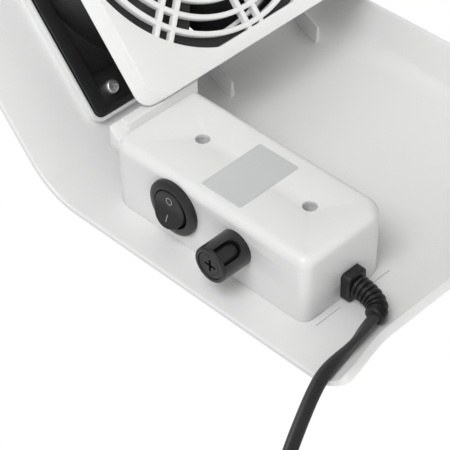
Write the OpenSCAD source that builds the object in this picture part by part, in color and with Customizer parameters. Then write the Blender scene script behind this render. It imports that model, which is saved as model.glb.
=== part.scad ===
// Nail dust collector: a white arch that stands on its two wings over a round axial fan,
// with a mains box under one wing. Millimetres, +Z up, origin on the table under the middle.

/* [Body] */
// Depth of the arch from its front skirt to its open back edge
body_depth = 160; // [150:1:200]
// Height of the underside of the flat top above the table
inner_height = 108; // [100:1:130]
// Distance from the middle to the line where each wing bends down
bend_x = 71; // [71:1:95]
// Angle of each wing below the flat top, in degrees
wing_angle = 49.3; // [45:0.1:55]
// Wall thickness of the arch
wall = 2.5; // [2:0.1:4]
// Radius of the bend, on the inside
bend_radius = 30; // [22:1:36]
// Height of the front skirt, square to the wall it stands on
skirt_height = 16.5; // [8:0.5:20]
// Lean of the front skirt, in degrees from square
skirt_lean = 27; // [5:1:40]
// Rounding of the wing corners at the open back edge
wing_corner_radius = 10; // [4:1:16]
// Height of the square intake surround above the top
surround_height = 2.5; // [2:0.1:5]

/* [Fan] */
// Outside width of the square fan frame
fan_size = 112; // [92:1:116]
// Depth of the fan frame
fan_depth = 38; // [32:1:40]
// Distance of the fan centre from the open back edge
fan_from_back = 91.5; // [80:0.5:100]
// Wall of the fan duct and least wall between duct and frame side
duct_wall = 2; // [1.5:0.1:4]
// Radius of the fan hub
hub_radius = 22; // [20:0.5:28]
// Number of fan blades
blade_count = 7; // [5:1:9]
// Pitch of the fan blades, in degrees
blade_pitch = 34; // [20:1:45]
// Gap between the blade tips and the duct
tip_gap = 1; // [0.6:0.1:2]
// Distance of each screw hole from the two sides of the frame
screw_inset = 8; // [6:0.5:9]
// Diameter of the fan shaft
shaft_d = 3; // [2:0.5:4]

/* [Guard] */
// Width of the exhaust guard across the arch
guard_w = 118; // [104:1:118]
// Length of the exhaust guard from back to front
guard_l = 126; // [118:1:130]
// Radius of the round opening in the guard
guard_opening = 57; // [40:0.5:57]
// Distance between neighbouring guard rings
ring_pitch = 6.45; // [5:0.05:9]
// Width of each ring and spoke
ring_w = 2.1; // [1.6:0.1:3]
// Distance between the two bars of a spoke
spoke_gap = 6.2; // [4:0.1:8]

/* [Mains box] */
// Length of the box along the wing
box_length = 94.5; // [88:0.5:100]
// Width of the box from back to front
box_width = 43; // [40:0.5:60]
// Height of the box above the wing
box_height = 29; // [27:0.5:30]
// Distance of the box from the bend line
box_start = 22; // [20:0.5:26]
// Distance of the box from the open back edge
box_inset = 15; // [14:0.5:24]
// Wall of the box
box_wall = 2.2; // [1.8:0.1:3]
// Rounding of the box edges
box_round = 4; // [2:0.5:6]
// Diameter of the switch bezel
switch_d = 23; // [21:0.5:24]
// Distance of the switch from the fan end of the box
switch_from_end = 30.6; // [22:0.5:34]
// Height of the switch and fuse axis above the wing
control_height = 16.3; // [14:0.1:17]
// Travel of the rocker from one side to the other, in degrees
rocker_travel = 24; // [16:1:28]
// Diameter of the fuse holder
fuse_holder_d = 14.5; // [13:0.5:17]
// Distance of the fuse holder from the fan end of the box
fuse_from_end = 61.5; // [56:0.5:68]
// How far the fuse holder stands out of the box
fuse_reach = 13.5; // [12:0.5:14.5]
// Distance of the near box screw from the fan end of the box
box_screw_1 = 21.9; // [16:0.1:24]
// Distance of the far box screw from the fan end of the box
box_screw_2 = 75.2; // [72:0.1:80]

/* [Label] */
// Width of the blank label along the box
label_w = 19.4; // [10:0.1:24]
// Length of the blank label across the box
label_l = 30.1; // [10:0.1:34]

/* [Cord] */
// Width of the flat cord
cord_w = 5.4; // [4:0.1:6]
// Thickness of the flat cord
cord_t = 3.2; // [2.5:0.1:3.4]
// Width of the plug body
plug_w = 35; // [30:1:38]

/* [Hidden] */
$fn = 64;
eps = 0.01;
gap = 0.3;
hull_fn = 32;

// Arch
bend_run = bend_radius * tan(wing_angle / 2);
wing_length = inner_height / sin(wing_angle);
wing_tip = wing_length + wall / tan(wing_angle) + 0.3;
skirt_out = skirt_height * tan(skirt_lean);
groove_y = body_depth - skirt_out - wall * cos(skirt_lean);
foot_y = groove_y - wall * tan(skirt_lean) + wall / cos(skirt_lean);
foot_round = 3;
top_z = inner_height + wall;
surround_z = top_z + surround_height;
surround_size = fan_size + 6;

// Fan
fan_y = body_depth / 2 - fan_from_back;
half_fan = fan_size / 2;
duct_r = half_fan - 2 * duct_wall;
blade_r = duct_r - tip_gap;
frame_round = 5;
flange_t = 2.5;
rim_w = 2.6;
rim_h = 4;
pad_size = 15;
pad_h = 3.6;
screw_off = half_fan - screw_inset;
screw_r = 1.5;
lip_gap = 0.4;
lip_w = 1.6;
lip_h = 3.4;
intake_r = duct_r;
hub_top = 5;
hub_h = 22;
hub_wall = 2;
magnet_t = 2.2;
bearing_r = 4;
shaft_gap = 0.05;
bearing_w = 4;
tube_w = 1.6;
motor_base_t = 2.2;
strut_w = 5;
strut_h = 4;
motor_base_n = fan_depth - motor_base_t;
stator_r = hub_radius - hub_wall - magnet_t - 0.8;
board_n = motor_base_n - 3;

// Intake grille
grille_rim_r = intake_r + 5;
grille_t = 2.4;
grille_recess = 1.5;
grille_pitch = 5;
grille_rings = floor((intake_r - 13) / grille_pitch);
grille_bar = 1.6;

// Guard
guard_n = fan_depth;
guard_flange_t = 1.6;
guard_panel_t = 1.6;
guard_inset = 5;
guard_border = 5.7;
guard_round = 8;
guard_hub = 14;
guard_rings = floor((guard_opening - guard_hub) / ring_pitch);
peg_r = screw_r - 0.1;

// Mains box
box_end = box_start + box_length;
collar_t = 4.4;
collar_h = (bend_x - guard_w / 2) * sin(wing_angle) + guard_n * cos(wing_angle) - gap;
collar_start = box_start - collar_t;
ramp_w = 6.6;
screw_y = box_inset + box_width / 2 + 1.5;
post_r = 4;
post_h = 7.8;
tube_r = 4.6;
tube_floor = 8.1;
head_r = 2.6;
head_h = 2.2;
screw_hole_r = head_r + gap;
switch_x = box_start + switch_from_end;
fuse_x = box_start + fuse_from_end;
bezel_h = 2;
barrel_r = switch_d / 2 - 1.7;
barrel_depth = 18;
rocker_r = barrel_r - 1.8;
rocker_hole_r = rocker_r + 0.9;
rocker_pivot = 0.5;
rocker_face = 2.2;
rocker_under = 2.5;
pin_r = 0.9;
pin_hole_r = 1.1;
fuse_r = 2.6;
fuse_l = 20;
fuse_in = -13;
cap_r = fuse_holder_d / 2 - 1.85;
cap_len = fuse_reach - 3.5;
fuse_barrel_r = 6;
fuse_barrel_depth = 22;
nut_r = 8.4;
nut_h = 2.8;
label_x = box_start + 39;
label_y = box_inset + 5.2;
label_t = 0.3;

// Circuit board and what stands on it
pcb_x = box_start + 27;
pcb_l = 42;
pcb_y = box_inset + 8;
pcb_w = 32;
pcb_v = 3;
pcb_t = 1.6;
pcb_top = pcb_v + pcb_t;

// Strain relief
relief_y = box_inset + 23;
relief_v = 6;
relief_w = 9.4;
relief_h = 11.5;
relief_t = 4;
relief_r = 4.1;
relief_tip_r = 3.4;
relief_ribs = 7;

// Route of the fan leads, from inside the box to the fan
fan_lead_points = [
    [83.8, 26.5, 79.5], [76.2, 26.5, 86], [68, 26.4, 88.5], [59, 25.5, 86.5],
    [51.5, 23.4, 81], [46.2, 20.6, 78.5]
];

// Cord route on the table, from the tip of the strain relief to the coil
lead_points = [
    [155.2, 48.4, 4.2], [156.2, 54, 3.4], [157.4, 60, 2.4], [158.3, 66, 1.9], [158.7, 72, 1.7],
    [159.2, 77, 1.7], [160.6, 82, 1.7], [163.4, 88, 1.7], [166.7, 94, 1.7], [170.2, 100, 1.7],
    [174.6, 107, 1.7], [180, 114.4, 1.7], [184.8, 119.4, 1.7], [190, 124.2, 1.7],
    [195.4, 128.6, 1.7], [200, 132, 1.7]
];
// Route from the coil to the plug
tail_points = [[259, 106, 1.7], [259.6, 99, 2], [259.4, 92, 3.4], [257.6, 84, 6], [256, 76, 6.8]];
coil_x = 222;
coil_y = 105;
coil_in = 22;
coil_out = 38.6;
coil_h = 10;
plug_x = 256;
plug_back = 76;
plug_len = 33;
plug_h = 13.6;
plug_boot = 8;
pin_gap = 18.6;
pin_len = 19;

// ---------------------------------------------------------------- frames and shared shapes

// Along the wing with the box: x runs down the wing from the bend line, y runs from the open
// back edge to the front, z stands out of the wing into the arch.
module on_wing() {
    translate([bend_x, body_depth / 2, inner_height])
        rotate([0, wing_angle, 0])
            rotate([180, 0, 0])
                children();
}

// On the flat top: x as in the world, y from the open back edge to the front, z down.
module on_top() {
    translate([0, body_depth / 2, inner_height])
        rotate([180, 0, 0])
            children();
}

// At the fan axis: z runs down from the underside of the top.
module at_fan() {
    translate([0, fan_y, inner_height])
        rotate([180, 0, 0])
            children();
}

// On the back face of the box: x down the wing, y out of the wing, z out of the face.
module on_box_face(x) {
    on_wing()
        translate([x, box_inset, control_height])
            rotate([90, 0, 0])
                children();
}

// A block with round upright edges, centred on x and y.
module rounded_block(w, l, h, r) {
    translate([-w / 2 + r, -l / 2, 0]) cube([w - 2 * r, l, h]);
    translate([-w / 2, -l / 2 + r, 0]) cube([w, l - 2 * r, h]);
    for (x = [-1, 1], y = [-1, 1])
        translate([x * (w / 2 - r), y * (l / 2 - r), 0])
            cylinder(r = r, h = h);
}

module ring(r_in, r_out, h) {
    difference() {
        cylinder(r = r_out, h = h);
        translate([0, 0, -1]) cylinder(r = r_in, h = h + 2);
    }
}

// Copies at the four screw places of the fan.
module at_fan_corners() {
    for (x = [-1, 1], y = [-1, 1])
        translate([x * screw_off, y * screw_off, 0])
            children();
}

// Point on a smooth curve through the points p, at t from 0 to len(p) - 1.
function clamp_i(i, n) = max(0, min(n - 1, i));
function curve_point(p, t) =
    let (i = min(floor(t), len(p) - 2), u = t - i, n = len(p),
         a = p[clamp_i(i - 1, n)], b = p[i], c = p[i + 1], d = p[clamp_i(i + 2, n)])
    0.5 * (2 * b + (c - a) * u + (2 * a - 5 * b + 4 * c - d) * u * u
        + (3 * b - a - 3 * c + d) * u * u * u);
function unit(v) = v / norm(v);
function curve_dir(p, t) =
    let (e = 0.02, top = len(p) - 1)
    unit(curve_point(p, min(t + e, top)) - curve_point(p, max(t - e, 0)));

// One ring of a tube: an ellipse of half width a and half height b across the direction d.
function tube_ring(c, d, a, b, sides) =
    let (side = unit(cross(d, [0, 0, 1])), up = cross(side, d))
    [for (k = [0:sides - 1]) c + a * cos(360 * k / sides) * side + b * sin(360 * k / sides) * up];

// A tube along the points p, with half sizes given for each of its rings.
module tube(p, halves, sides) {
    n = len(halves);
    rings = [for (i = [0:n - 1])
        let (t = i * (len(p) - 1) / (n - 1))
        tube_ring(curve_point(p, t), curve_dir(p, t), halves[i][0], halves[i][1], sides)];
    points = [for (r = rings) each r];
    walls = [for (i = [0:n - 2], k = [0:sides - 1])
        let (a = i * sides + k, b = i * sides + (k + 1) % sides)
        each [[a, b, b + sides], [a, b + sides, a + sides]]];
    first = [for (k = [sides - 1:-1:0]) k];
    last = [for (k = [0:sides - 1]) (n - 1) * sides + k];
    polyhedron(points = points, faces = concat([first], walls, [last]), convexity = 6);
}

// ---------------------------------------------------------------- the arch

// Cross-section of the wall: x from the open back edge to the front, y into the arch.
function arc_points(cx, cy, r, a0, a1, n) =
    [for (i = [0:n]) [cx + r * cos(a0 + (a1 - a0) * i / n), cy + r * sin(a0 + (a1 - a0) * i / n)]];
foot_run = foot_round * tan((90 - skirt_lean) / 2);
section = concat(
    [[0, 0], [groove_y, 0], [groove_y + skirt_out, skirt_height],
     [body_depth, skirt_height - wall * sin(skirt_lean)]],
    arc_points(foot_y - foot_run, foot_round - wall, foot_round, -skirt_lean, -90, 4),
    [[0, -wall]]);

module straight_wall(length) {
    rotate([90, 0, 90])
        linear_extrude(length)
            polygon(section);
}

module bent_wall() {
    translate([bend_run, 0, bend_radius])
        rotate([-90, 90, 0])
            rotate_extrude(angle = wing_angle, $fn = 96)
                polygon([for (p = section) [bend_radius - p[1], p[0]]]);
}

module wing() {
    on_wing() {
        difference() {
            translate([bend_run, 0, 0]) straight_wall(wing_length + 6 - bend_run);
            translate([wing_tip - wing_corner_radius, -1, -wall - 1])
                difference() {
                    cube([wing_corner_radius + 20, wing_corner_radius + 1, wall + 2]);
                    translate([0, wing_corner_radius + 1, -1])
                        cylinder(r = wing_corner_radius, h = wall + 4);
                }
        }
        bent_wall();
    }
}

// Rib from the bend to the side of the fan frame, at y from the back edge.
rib_x = 11.5;
rib_w = 2.4;
rib_out = half_fan + lip_gap;
rib_top = (bend_x + rib_x / cos(wing_angle) - rib_out) / tan(wing_angle);
module bend_rib(y) {
    on_top()
        translate([0, y + rib_w / 2, 0])
            rotate([90, 0, 0])
                linear_extrude(rib_w)
                    polygon(concat(
                        [[rib_out, rib_top], [rib_out, -wall / 2]],
                        arc_points(bend_x - bend_run, bend_radius, bend_radius + wall / 2,
                            -88, wing_angle - 92, 6),
                        [[bend_x + rib_x * cos(wing_angle), rib_x * sin(wing_angle)]]));
}

module screw_post(x) {
    translate([x, screw_y, -1])
        cylinder(r = post_r, h = post_h + 1);
}

module arch_shell() {
    color("white")
    difference() {
        union() {
            on_top()
                translate([-(bend_x - bend_run), 0, 0])
                    straight_wall(2 * (bend_x - bend_run));
            wing();
            mirror([1, 0, 0]) wing();
            translate([0, fan_y, top_z - 1])
                rounded_block(surround_size, surround_size, surround_height + 1, 12);
            at_fan()
                difference() {
                    translate([0, 0, -1])
                        rounded_block(fan_size + 2 * (lip_gap + lip_w),
                            fan_size + 2 * (lip_gap + lip_w), lip_h + 1, frame_round + 2);
                    rounded_block(fan_size + 2 * lip_gap, fan_size + 2 * lip_gap,
                        lip_h + 1, frame_round + lip_gap);
                }
            for (y = [85, 135]) bend_rib(y);
            for (y = [35, 85, 135]) mirror([1, 0, 0]) bend_rib(y);
            on_wing() {
                screw_post(box_start + box_screw_1);
                screw_post(box_start + box_screw_2);
            }
        }
        translate([-300, -300, -100]) cube([600, 600, 100]);
        translate([0, fan_y, inner_height - 1])
            cylinder(r = intake_r, h = wall + surround_height + 2, $fn = 128);
        translate([0, fan_y, surround_z - grille_recess])
            cylinder(r = grille_rim_r + gap, h = grille_recess + 1, $fn = 128);
        at_fan()
            at_fan_corners()
                translate([0, 0, -4]) cylinder(r = screw_r, h = 5);
        on_wing() {
            for (x = [box_screw_1, box_screw_2])
                translate([box_start + x, screw_y, 1]) cylinder(r = screw_r, h = post_h + 1);
            for (y = [[box_inset + 3, 12.5], [box_inset + 32.5, 9]])
                translate([box_end + 2.6, y[0], -0.5]) cube([0.6, y[1], 1]);
        }
    }
}

// ---------------------------------------------------------------- intake grille

module intake_grille() {
    color("whitesmoke")
    translate([0, fan_y, surround_z - grille_recess]) {
        ring(intake_r - 2, grille_rim_r, grille_t);
        translate([0, 0, -4])
            ring(intake_r - 2, intake_r - gap, 5);
        for (i = [1:grille_rings])
            ring(13 + (i - 1) * grille_pitch - grille_bar / 2,
                13 + (i - 1) * grille_pitch + grille_bar / 2, grille_t);
        cylinder(r = 9.2, h = grille_t);
        for (a = [0:30:330])
            rotate([0, 0, a])
                translate([8.6, -grille_bar / 2, 0.2])
                    cube([intake_r - 9.6, grille_bar, grille_t - 0.4]);
    }
}

// ---------------------------------------------------------------- fan

module fan_frame() {
    color("#1c1c1e")
    at_fan()
    difference() {
        union() {
            rounded_block(fan_size, fan_size, flange_t - 1, frame_round);
            difference() {
                rounded_block(fan_size, fan_size, rim_h, frame_round);
                translate([0, 0, -1])
                    rounded_block(fan_size - 2 * rim_w, fan_size - 2 * rim_w, rim_h + 2,
                        frame_round - 2);
            }
            intersection() {
                rounded_block(fan_size, fan_size, fan_depth, frame_round);
                for (x = [-1, 1], y = [-1, 1], n = [0, fan_depth - pad_h])
                    translate([x * (half_fan - pad_size / 2), y * (half_fan - pad_size / 2),
                        n + pad_h / 2])
                        cube([pad_size, pad_size, pad_h], center = true);
            }
            cylinder(r = duct_r + duct_wall, h = fan_depth, $fn = 128);
            translate([0, 0, fan_depth - flange_t])
                rounded_block(fan_size, fan_size, flange_t, frame_round);
        }
        difference() {
            translate([0, 0, -1]) cylinder(r = duct_r, h = fan_depth + 2, $fn = 128);
            for (a = [55, 145, 235, 325])
                rotate([0, 0, a])
                    translate([hub_radius, -strut_w / 2, fan_depth - strut_h])
                        cube([duct_r - hub_radius + 1, strut_w, strut_h]);
            translate([0, 0, board_n - 2]) cylinder(r = hub_radius + 1, h = fan_depth - board_n + 2);
        }
        translate([0, 0, board_n - 3])
            cylinder(r = hub_radius - 1, h = motor_base_n - board_n + 3);
        translate([0, 0, motor_base_n - 1])
            cylinder(r = bearing_r + tube_w - eps, h = motor_base_t + 2);
        at_fan_corners()
            translate([0, 0, -1]) cylinder(r = screw_r + 0.2, h = fan_depth + 2);
    }
    color("#1c1c1e")
    at_fan()
        difference() {
            translate([0, 0, hub_top + 6])
                cylinder(r = bearing_r + tube_w, h = fan_depth - hub_top - 6);
            translate([0, 0, hub_top + 5])
                cylinder(r = bearing_r, h = motor_base_n - hub_top - 5);
        }
}

// One flat blade, cut to the ring between hub and duct.
module blade() {
    intersection() {
        difference() {
            translate([0, 0, hub_top + 1]) cylinder(r = blade_r, h = hub_h);
            cylinder(r = hub_radius - 0.8, h = fan_depth);
        }
        translate([0, 0, hub_top + 1 + hub_h / 2])
            rotate([90 - blade_pitch, 0, 0])
                translate([hub_radius - 2, -18, -0.8])
                    cube([blade_r - hub_radius + 4, 36, 1.6]);
    }
}

module fan_rotor() {
    color("#202124")
    at_fan() {
        difference() {
            translate([0, 0, hub_top]) cylinder(r = hub_radius, h = hub_h);
            translate([0, 0, hub_top + hub_wall])
                cylinder(r = hub_radius - hub_wall, h = hub_h);
            translate([0, 0, hub_top - 1]) cylinder(d = shaft_d, h = 10);
        }
        for (i = [0:blade_count - 1])
            rotate([0, 0, i * 360 / blade_count]) blade();
    }
}

module rotor_magnet() {
    color("dimgray")
    at_fan()
        translate([0, 0, hub_top + hub_wall + 3])
            ring(hub_radius - hub_wall - magnet_t, hub_radius - hub_wall, hub_h - hub_wall - 4);
}

module rotor_shaft() {
    color("silver")
    at_fan()
        translate([0, 0, hub_top])
            cylinder(d = shaft_d, h = motor_base_n - hub_top - 0.6);
}

module bearing(n) {
    at_fan()
        translate([0, 0, n])
            ring(shaft_d / 2 + shaft_gap, bearing_r, bearing_w);
}

module inner_bearing() {
    color("gainsboro") bearing(hub_top + 7);
}

module outer_bearing() {
    color("gainsboro") bearing(motor_base_n - bearing_w - 3);
}

module shaft_clip() {
    color("gray")
    at_fan()
        translate([0, 0, motor_base_n - 2.2])
            difference() {
                ring(shaft_d / 2, shaft_d / 2 + 1.4, 0.6);
                translate([0, -0.8, -1]) cube([6, 1.6, 3]);
            }
}

module motor_stator() {
    color("peru")
    at_fan()
        translate([0, 0, hub_top + 8]) {
            ring(bearing_r + tube_w, bearing_r + tube_w + 2.4, 14);
            for (a = [0:60:300])
                rotate([0, 0, a]) {
                    translate([bearing_r + tube_w + 2, -2.4, 2])
                        cube([stator_r - bearing_r - tube_w - 3.4, 4.8, 10]);
                    intersection() {
                        translate([0, 0, 1]) ring(stator_r - 1.6, stator_r, 12);
                        translate([stator_r - 3, -6, 0]) cube([6, 12, 14]);
                    }
                }
        }
}

module motor_board() {
    color("darkgreen")
    at_fan()
        translate([0, 0, board_n - 1.4])
            ring(bearing_r + tube_w, hub_radius - 1, 1.4);
}

module fan_screws() {
    color("silver")
    at_fan()
        at_fan_corners()
            difference() {
                union() {
                    translate([0, 0, -3.5]) cylinder(r = screw_r - 0.1, h = pad_h + 3.5 + eps);
                    translate([0, 0, pad_h]) cylinder(r1 = 2.8, r2 = 2.2, h = 2.2);
                }
                translate([-1.7, -0.35, pad_h + 1.2]) cube([3.4, 0.7, 2]);
                translate([-0.35, -1.7, pad_h + 1.2]) cube([0.7, 3.4, 2]);
            }
}

// ---------------------------------------------------------------- exhaust guard

module exhaust_guard() {
    color("white")
    at_fan()
        translate([0, 0, guard_n]) {
            difference() {
                union() {
                    rounded_block(guard_w, guard_l, guard_flange_t, 1.5);
                    rounded_block(guard_w, guard_l - 2 * guard_inset,
                        guard_flange_t + guard_panel_t, guard_round);
                }
                intersection() {
                    translate([0, 0, -1]) cylinder(r = guard_opening, h = 10, $fn = 128);
                    translate([guard_border - guard_w / 2, -guard_l / 2, -1])
                        cube([guard_w - 2 * guard_border, guard_l, 10]);
                }
            }
            intersection() {
                union() {
                    cylinder(r = guard_hub, h = guard_flange_t + guard_panel_t);
                    for (i = [1:guard_rings])
                        ring(guard_opening + 1.1 - i * ring_pitch - ring_w / 2,
                            guard_opening + 1.1 - i * ring_pitch + ring_w / 2,
                            guard_flange_t + guard_panel_t);
                    for (a = [0:45:315], s = [-1, 1])
                        rotate([0, 0, a])
                            translate([guard_hub - 2, s * spoke_gap / 2 - ring_w / 2, 0.2])
                                cube([guard_opening - guard_hub + 3.4, ring_w,
                                    guard_flange_t + guard_panel_t - 0.4]);
                }
                translate([-guard_w / 2 + 1, -guard_l / 2 + 1, 0])
                    cube([guard_w - 2, guard_l - 2, 10]);
            }
            at_fan_corners()
                translate([0, 0, -4]) cylinder(r = peg_r, h = 4 + eps);
        }
}

// ---------------------------------------------------------------- mains box

// Outer form of the cover: a block with all its free edges round.
module cover_form(w, l, h, r) {
    hull() {
        for (x = [r, w - r], y = [r, l - r])
            translate([x, y, 0]) {
                cylinder(r = r, h = eps, $fn = hull_fn);
                translate([0, 0, h - r]) sphere(r = r, $fn = hull_fn);
            }
    }
}

module box_cover() {
    color("white")
    on_wing()
    difference() {
        union() {
            translate([box_start - collar_t, box_inset, gap / 2])
                cover_form(box_length + collar_t, box_width, box_height, box_round);
            translate([collar_start, box_inset + box_round, gap / 2 + 4])
                cube([collar_t, box_width - box_round, box_height - box_round - 4]);
            translate([collar_start, box_inset + ramp_w, box_height - 4])
                cube([collar_t, box_width - ramp_w, collar_h - box_height + 4]);
            translate([collar_start, box_inset + 0.8, box_height - 4])
                rotate([90, 0, 0])
                    mirror([0, 0, 1])
                        linear_extrude(ramp_w)
                            polygon([[0, 0], [0, collar_h - box_height + 4],
                                [collar_t + 0.6, 4 - 0.2], [collar_t + 0.6, 0]]);
        }
        translate([box_start + 0.6, box_inset + box_wall, -1])
            cube([box_length - box_wall - 0.6, box_width - 2 * box_wall,
                box_height - box_wall + 1]);
        for (x = [box_screw_1, box_screw_2])
            translate([box_start + x, screw_y, box_height - box_wall - 1])
                cylinder(r = screw_hole_r, h = box_wall + 2);
        translate([switch_x, box_inset + box_wall + 1, control_height])
            rotate([90, 0, 0]) cylinder(r = barrel_r + 0.15, h = box_wall + 4);
        translate([fuse_x, box_inset + box_wall + 1, control_height])
            rotate([90, 0, 0]) cylinder(r = fuse_barrel_r + 0.15, h = box_wall + 4);
        translate([box_end - box_wall - 1, relief_y, relief_v])
            rotate([0, 90, 0]) cylinder(r = relief_r + 0.15, h = box_wall + 4);
        translate([collar_start - 1, box_inset + box_width - 6, 7.5])
            cube([collar_t + 3, 3, 8.5]);
    }
    color("white")
    on_wing()
    for (x = [box_screw_1, box_screw_2])
        translate([box_start + x, screw_y, tube_floor])
            difference() {
                cylinder(r = tube_r, h = box_height - box_wall - tube_floor + 0.15);
                translate([0, 0, 2]) cylinder(r = screw_hole_r, h = box_height);
                translate([0, 0, -1]) cylinder(r = screw_r + 0.2, h = 5);
            }
}

module box_screws() {
    color("silver")
    on_wing()
    for (x = [box_screw_1, box_screw_2])
        translate([box_start + x, screw_y, 0])
            difference() {
                union() {
                    translate([0, 0, 1.5]) cylinder(r = screw_r - 0.1, h = tube_floor + 0.5 + eps);
                    translate([0, 0, tube_floor + 2]) cylinder(r = head_r, h = head_h);
                }
                translate([-1.7, -0.35, tube_floor + 3]) cube([3.4, 0.7, 2]);
                translate([-0.35, -1.7, tube_floor + 3]) cube([0.7, 3.4, 2]);
            }
}

module blank_label() {
    color("lightgray")
    on_wing()
        translate([label_x, label_y, box_height + gap / 2])
            cube([label_w, label_l, label_t]);
}

// ---------------------------------------------------------------- switch and fuse

module switch_body() {
    color("#18181a")
    on_box_face(switch_x)
    difference() {
        union() {
            cylinder(r = switch_d / 2, h = bezel_h);
            translate([0, 0, -barrel_depth]) cylinder(r = barrel_r, h = barrel_depth + eps);
        }
        translate([0, 0, -6.4]) cylinder(r = rocker_hole_r, h = 10);
        translate([-barrel_r + 0.5, 0, rocker_pivot])
            rotate([0, 90, 0]) cylinder(r = pin_hole_r, h = 2 * barrel_r - 1);
    }
}

// The rocker in its rest place, with its upper end pressed in.
module switch_rocker() {
    color("#101012")
    on_box_face(switch_x)
    translate([0, 0, rocker_pivot])
        rotate([-rocker_travel / 2, 0, 0]) {
            intersection() {
                translate([0, 0, -rocker_under]) cylinder(r = rocker_r, h = 12);
                rotate([0, 90, 0]) cylinder(r = rocker_r + 0.4, h = 40, center = true);
                rotate([90, 0, 90])
                    translate([0, 0, -rocker_r - 1])
                        linear_extrude(2 * rocker_r + 2)
                            polygon([
                                [-12, -rocker_under], [12, -rocker_under],
                                [12, rocker_face - rocker_pivot + 12 * tan(rocker_travel / 2)],
                                [0, rocker_face - rocker_pivot],
                                [-12, rocker_face - rocker_pivot + 12 * tan(rocker_travel / 2)]]);
            }
            rotate([0, 90, 0])
                cylinder(r = pin_r, h = 2 * rocker_hole_r + 0.6, center = true);
        }
}

module switch_terminals() {
    color("goldenrod")
    on_box_face(switch_x)
    for (y = [-4, 4])
        translate([-2.4, y - 0.4, -barrel_depth - 7]) cube([4.8, 0.8, 7]);
}

module fuse_holder() {
    color("#141416")
    on_box_face(fuse_x)
    difference() {
        union() {
            cylinder(r = fuse_holder_d / 2, h = fuse_reach);
            translate([0, 0, -fuse_barrel_depth])
                cylinder(r = fuse_barrel_r, h = fuse_barrel_depth + eps);
        }
        translate([0, 0, fuse_reach - cap_len - 0.4]) cylinder(r = cap_r + 0.2, h = cap_len + 2);
        translate([0, 0, 0.6 - fuse_barrel_depth])
            cylinder(r = fuse_r + 0.7, h = fuse_barrel_depth + 10);
        translate([-2.6, fuse_holder_d / 2 - 1.1, 6]) cube([5.2, 4, 10]);
        translate([0, fuse_holder_d / 2 + 3, 6])
            rotate([90, 0, 0]) cylinder(r = 2.6, h = 4.1);
    }
}

module fuse_nut() {
    color("#222225")
    on_box_face(fuse_x)
        translate([0, 0, -box_wall - nut_h])
            difference() {
                cylinder(r = nut_r, h = nut_h, $fn = 6);
                translate([0, 0, -1]) cylinder(r = fuse_barrel_r, h = nut_h + 2);
            }
}

module fuse_cap() {
    color("#0e0e10")
    on_box_face(fuse_x)
    difference() {
        translate([0, 0, fuse_reach - cap_len]) cylinder(r = cap_r, h = cap_len - 0.3);
        translate([0, 0, fuse_reach - cap_len - 1])
            cylinder(r = fuse_r + 0.1, h = fuse_in + fuse_l + 0.1 - fuse_reach + cap_len + 1);
        translate([-3, -0.55, fuse_reach - 1.9]) cube([6, 1.1, 3]);
        translate([-0.55, -3, fuse_reach - 1.9]) cube([1.1, 6, 3]);
    }
}

module glass_fuse() {
    color("lightcyan")
    on_box_face(fuse_x)
    translate([0, 0, fuse_in]) {
        cylinder(r = fuse_r, h = 5);
        translate([0, 0, 5]) cylinder(r = fuse_r - 0.25, h = fuse_l - 10);
        translate([0, 0, fuse_l - 5]) cylinder(r = fuse_r, h = 5);
    }
}

module fuse_contact() {
    color("goldenrod")
    on_box_face(fuse_x) {
        translate([0, 0, 0.6 - fuse_barrel_depth])
            cylinder(r = fuse_r, h = fuse_barrel_depth - 0.6 + fuse_in - gap);
        translate([-1.2, -0.4, -fuse_barrel_depth - 5]) cube([2.4, 0.8, 5]);
    }
}

// ---------------------------------------------------------------- electronics

module circuit_board() {
    color("#2f6b3a")
    on_wing() {
        translate([pcb_x, pcb_y, pcb_v]) cube([pcb_l, pcb_w, pcb_t]);
        for (x = [3, pcb_l - 3], y = [3, pcb_w - 3])
            translate([pcb_x + x, pcb_y + y, 0]) cylinder(r = 1.8, h = pcb_v);
    }
}

module transformer() {
    color("khaki")
    on_wing()
        translate([pcb_x + 14, pcb_y + 1.5, pcb_top]) {
            cube([12, 16, 4]);
            translate([1.5, 1.5, 4]) cube([9, 13, 5]);
            translate([0, 0, 9]) cube([12, 16, 4]);
        }
}

module bulk_capacitor() {
    color("midnightblue")
    on_wing()
        translate([pcb_x + 3, pcb_y + pcb_w - 6, pcb_top + 5])
            rotate([0, 90, 0]) cylinder(r = 5, h = 16);
}

module output_capacitor() {
    color("black")
    on_wing()
        translate([pcb_x + 25, pcb_y + pcb_w - 5.4, pcb_top])
            cylinder(r = 4, h = 12);
}

module heat_sink() {
    color("silver")
    on_wing()
        translate([pcb_x + 31, pcb_y + pcb_w - 9, pcb_top]) {
            cube([10, 1.6, 16]);
            for (x = [0, 2.8, 5.6, 8.4])
                translate([x, -2.4, 6]) cube([1.2, 2.4, 10]);
        }
}

module power_transistor() {
    color("#1a1a1a")
    on_wing()
        translate([pcb_x + 31.5, pcb_y + pcb_w - 7.4, pcb_top])
            cube([9, 4, 12]);
}

module terminal_block() {
    color("seagreen")
    on_wing()
        translate([box_end - 14, box_inset + 6, gap])
            difference() {
                cube([8, 14, 9]);
                for (y = [3.5, 10.5])
                    translate([4, y, 3]) cylinder(r = 1.8, h = 7);
            }
}

// Two leads from the box through the slot in its collar to the wall of the fan duct.
module fan_leads() {
    color("#222222")
    for (k = [0, 1])
        translate([-k, 0, -1.9 * k])
            tube(fan_lead_points, [for (i = [0:16]) [0.8, 0.8]], 8);
}

// ---------------------------------------------------------------- cord and plug

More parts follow.
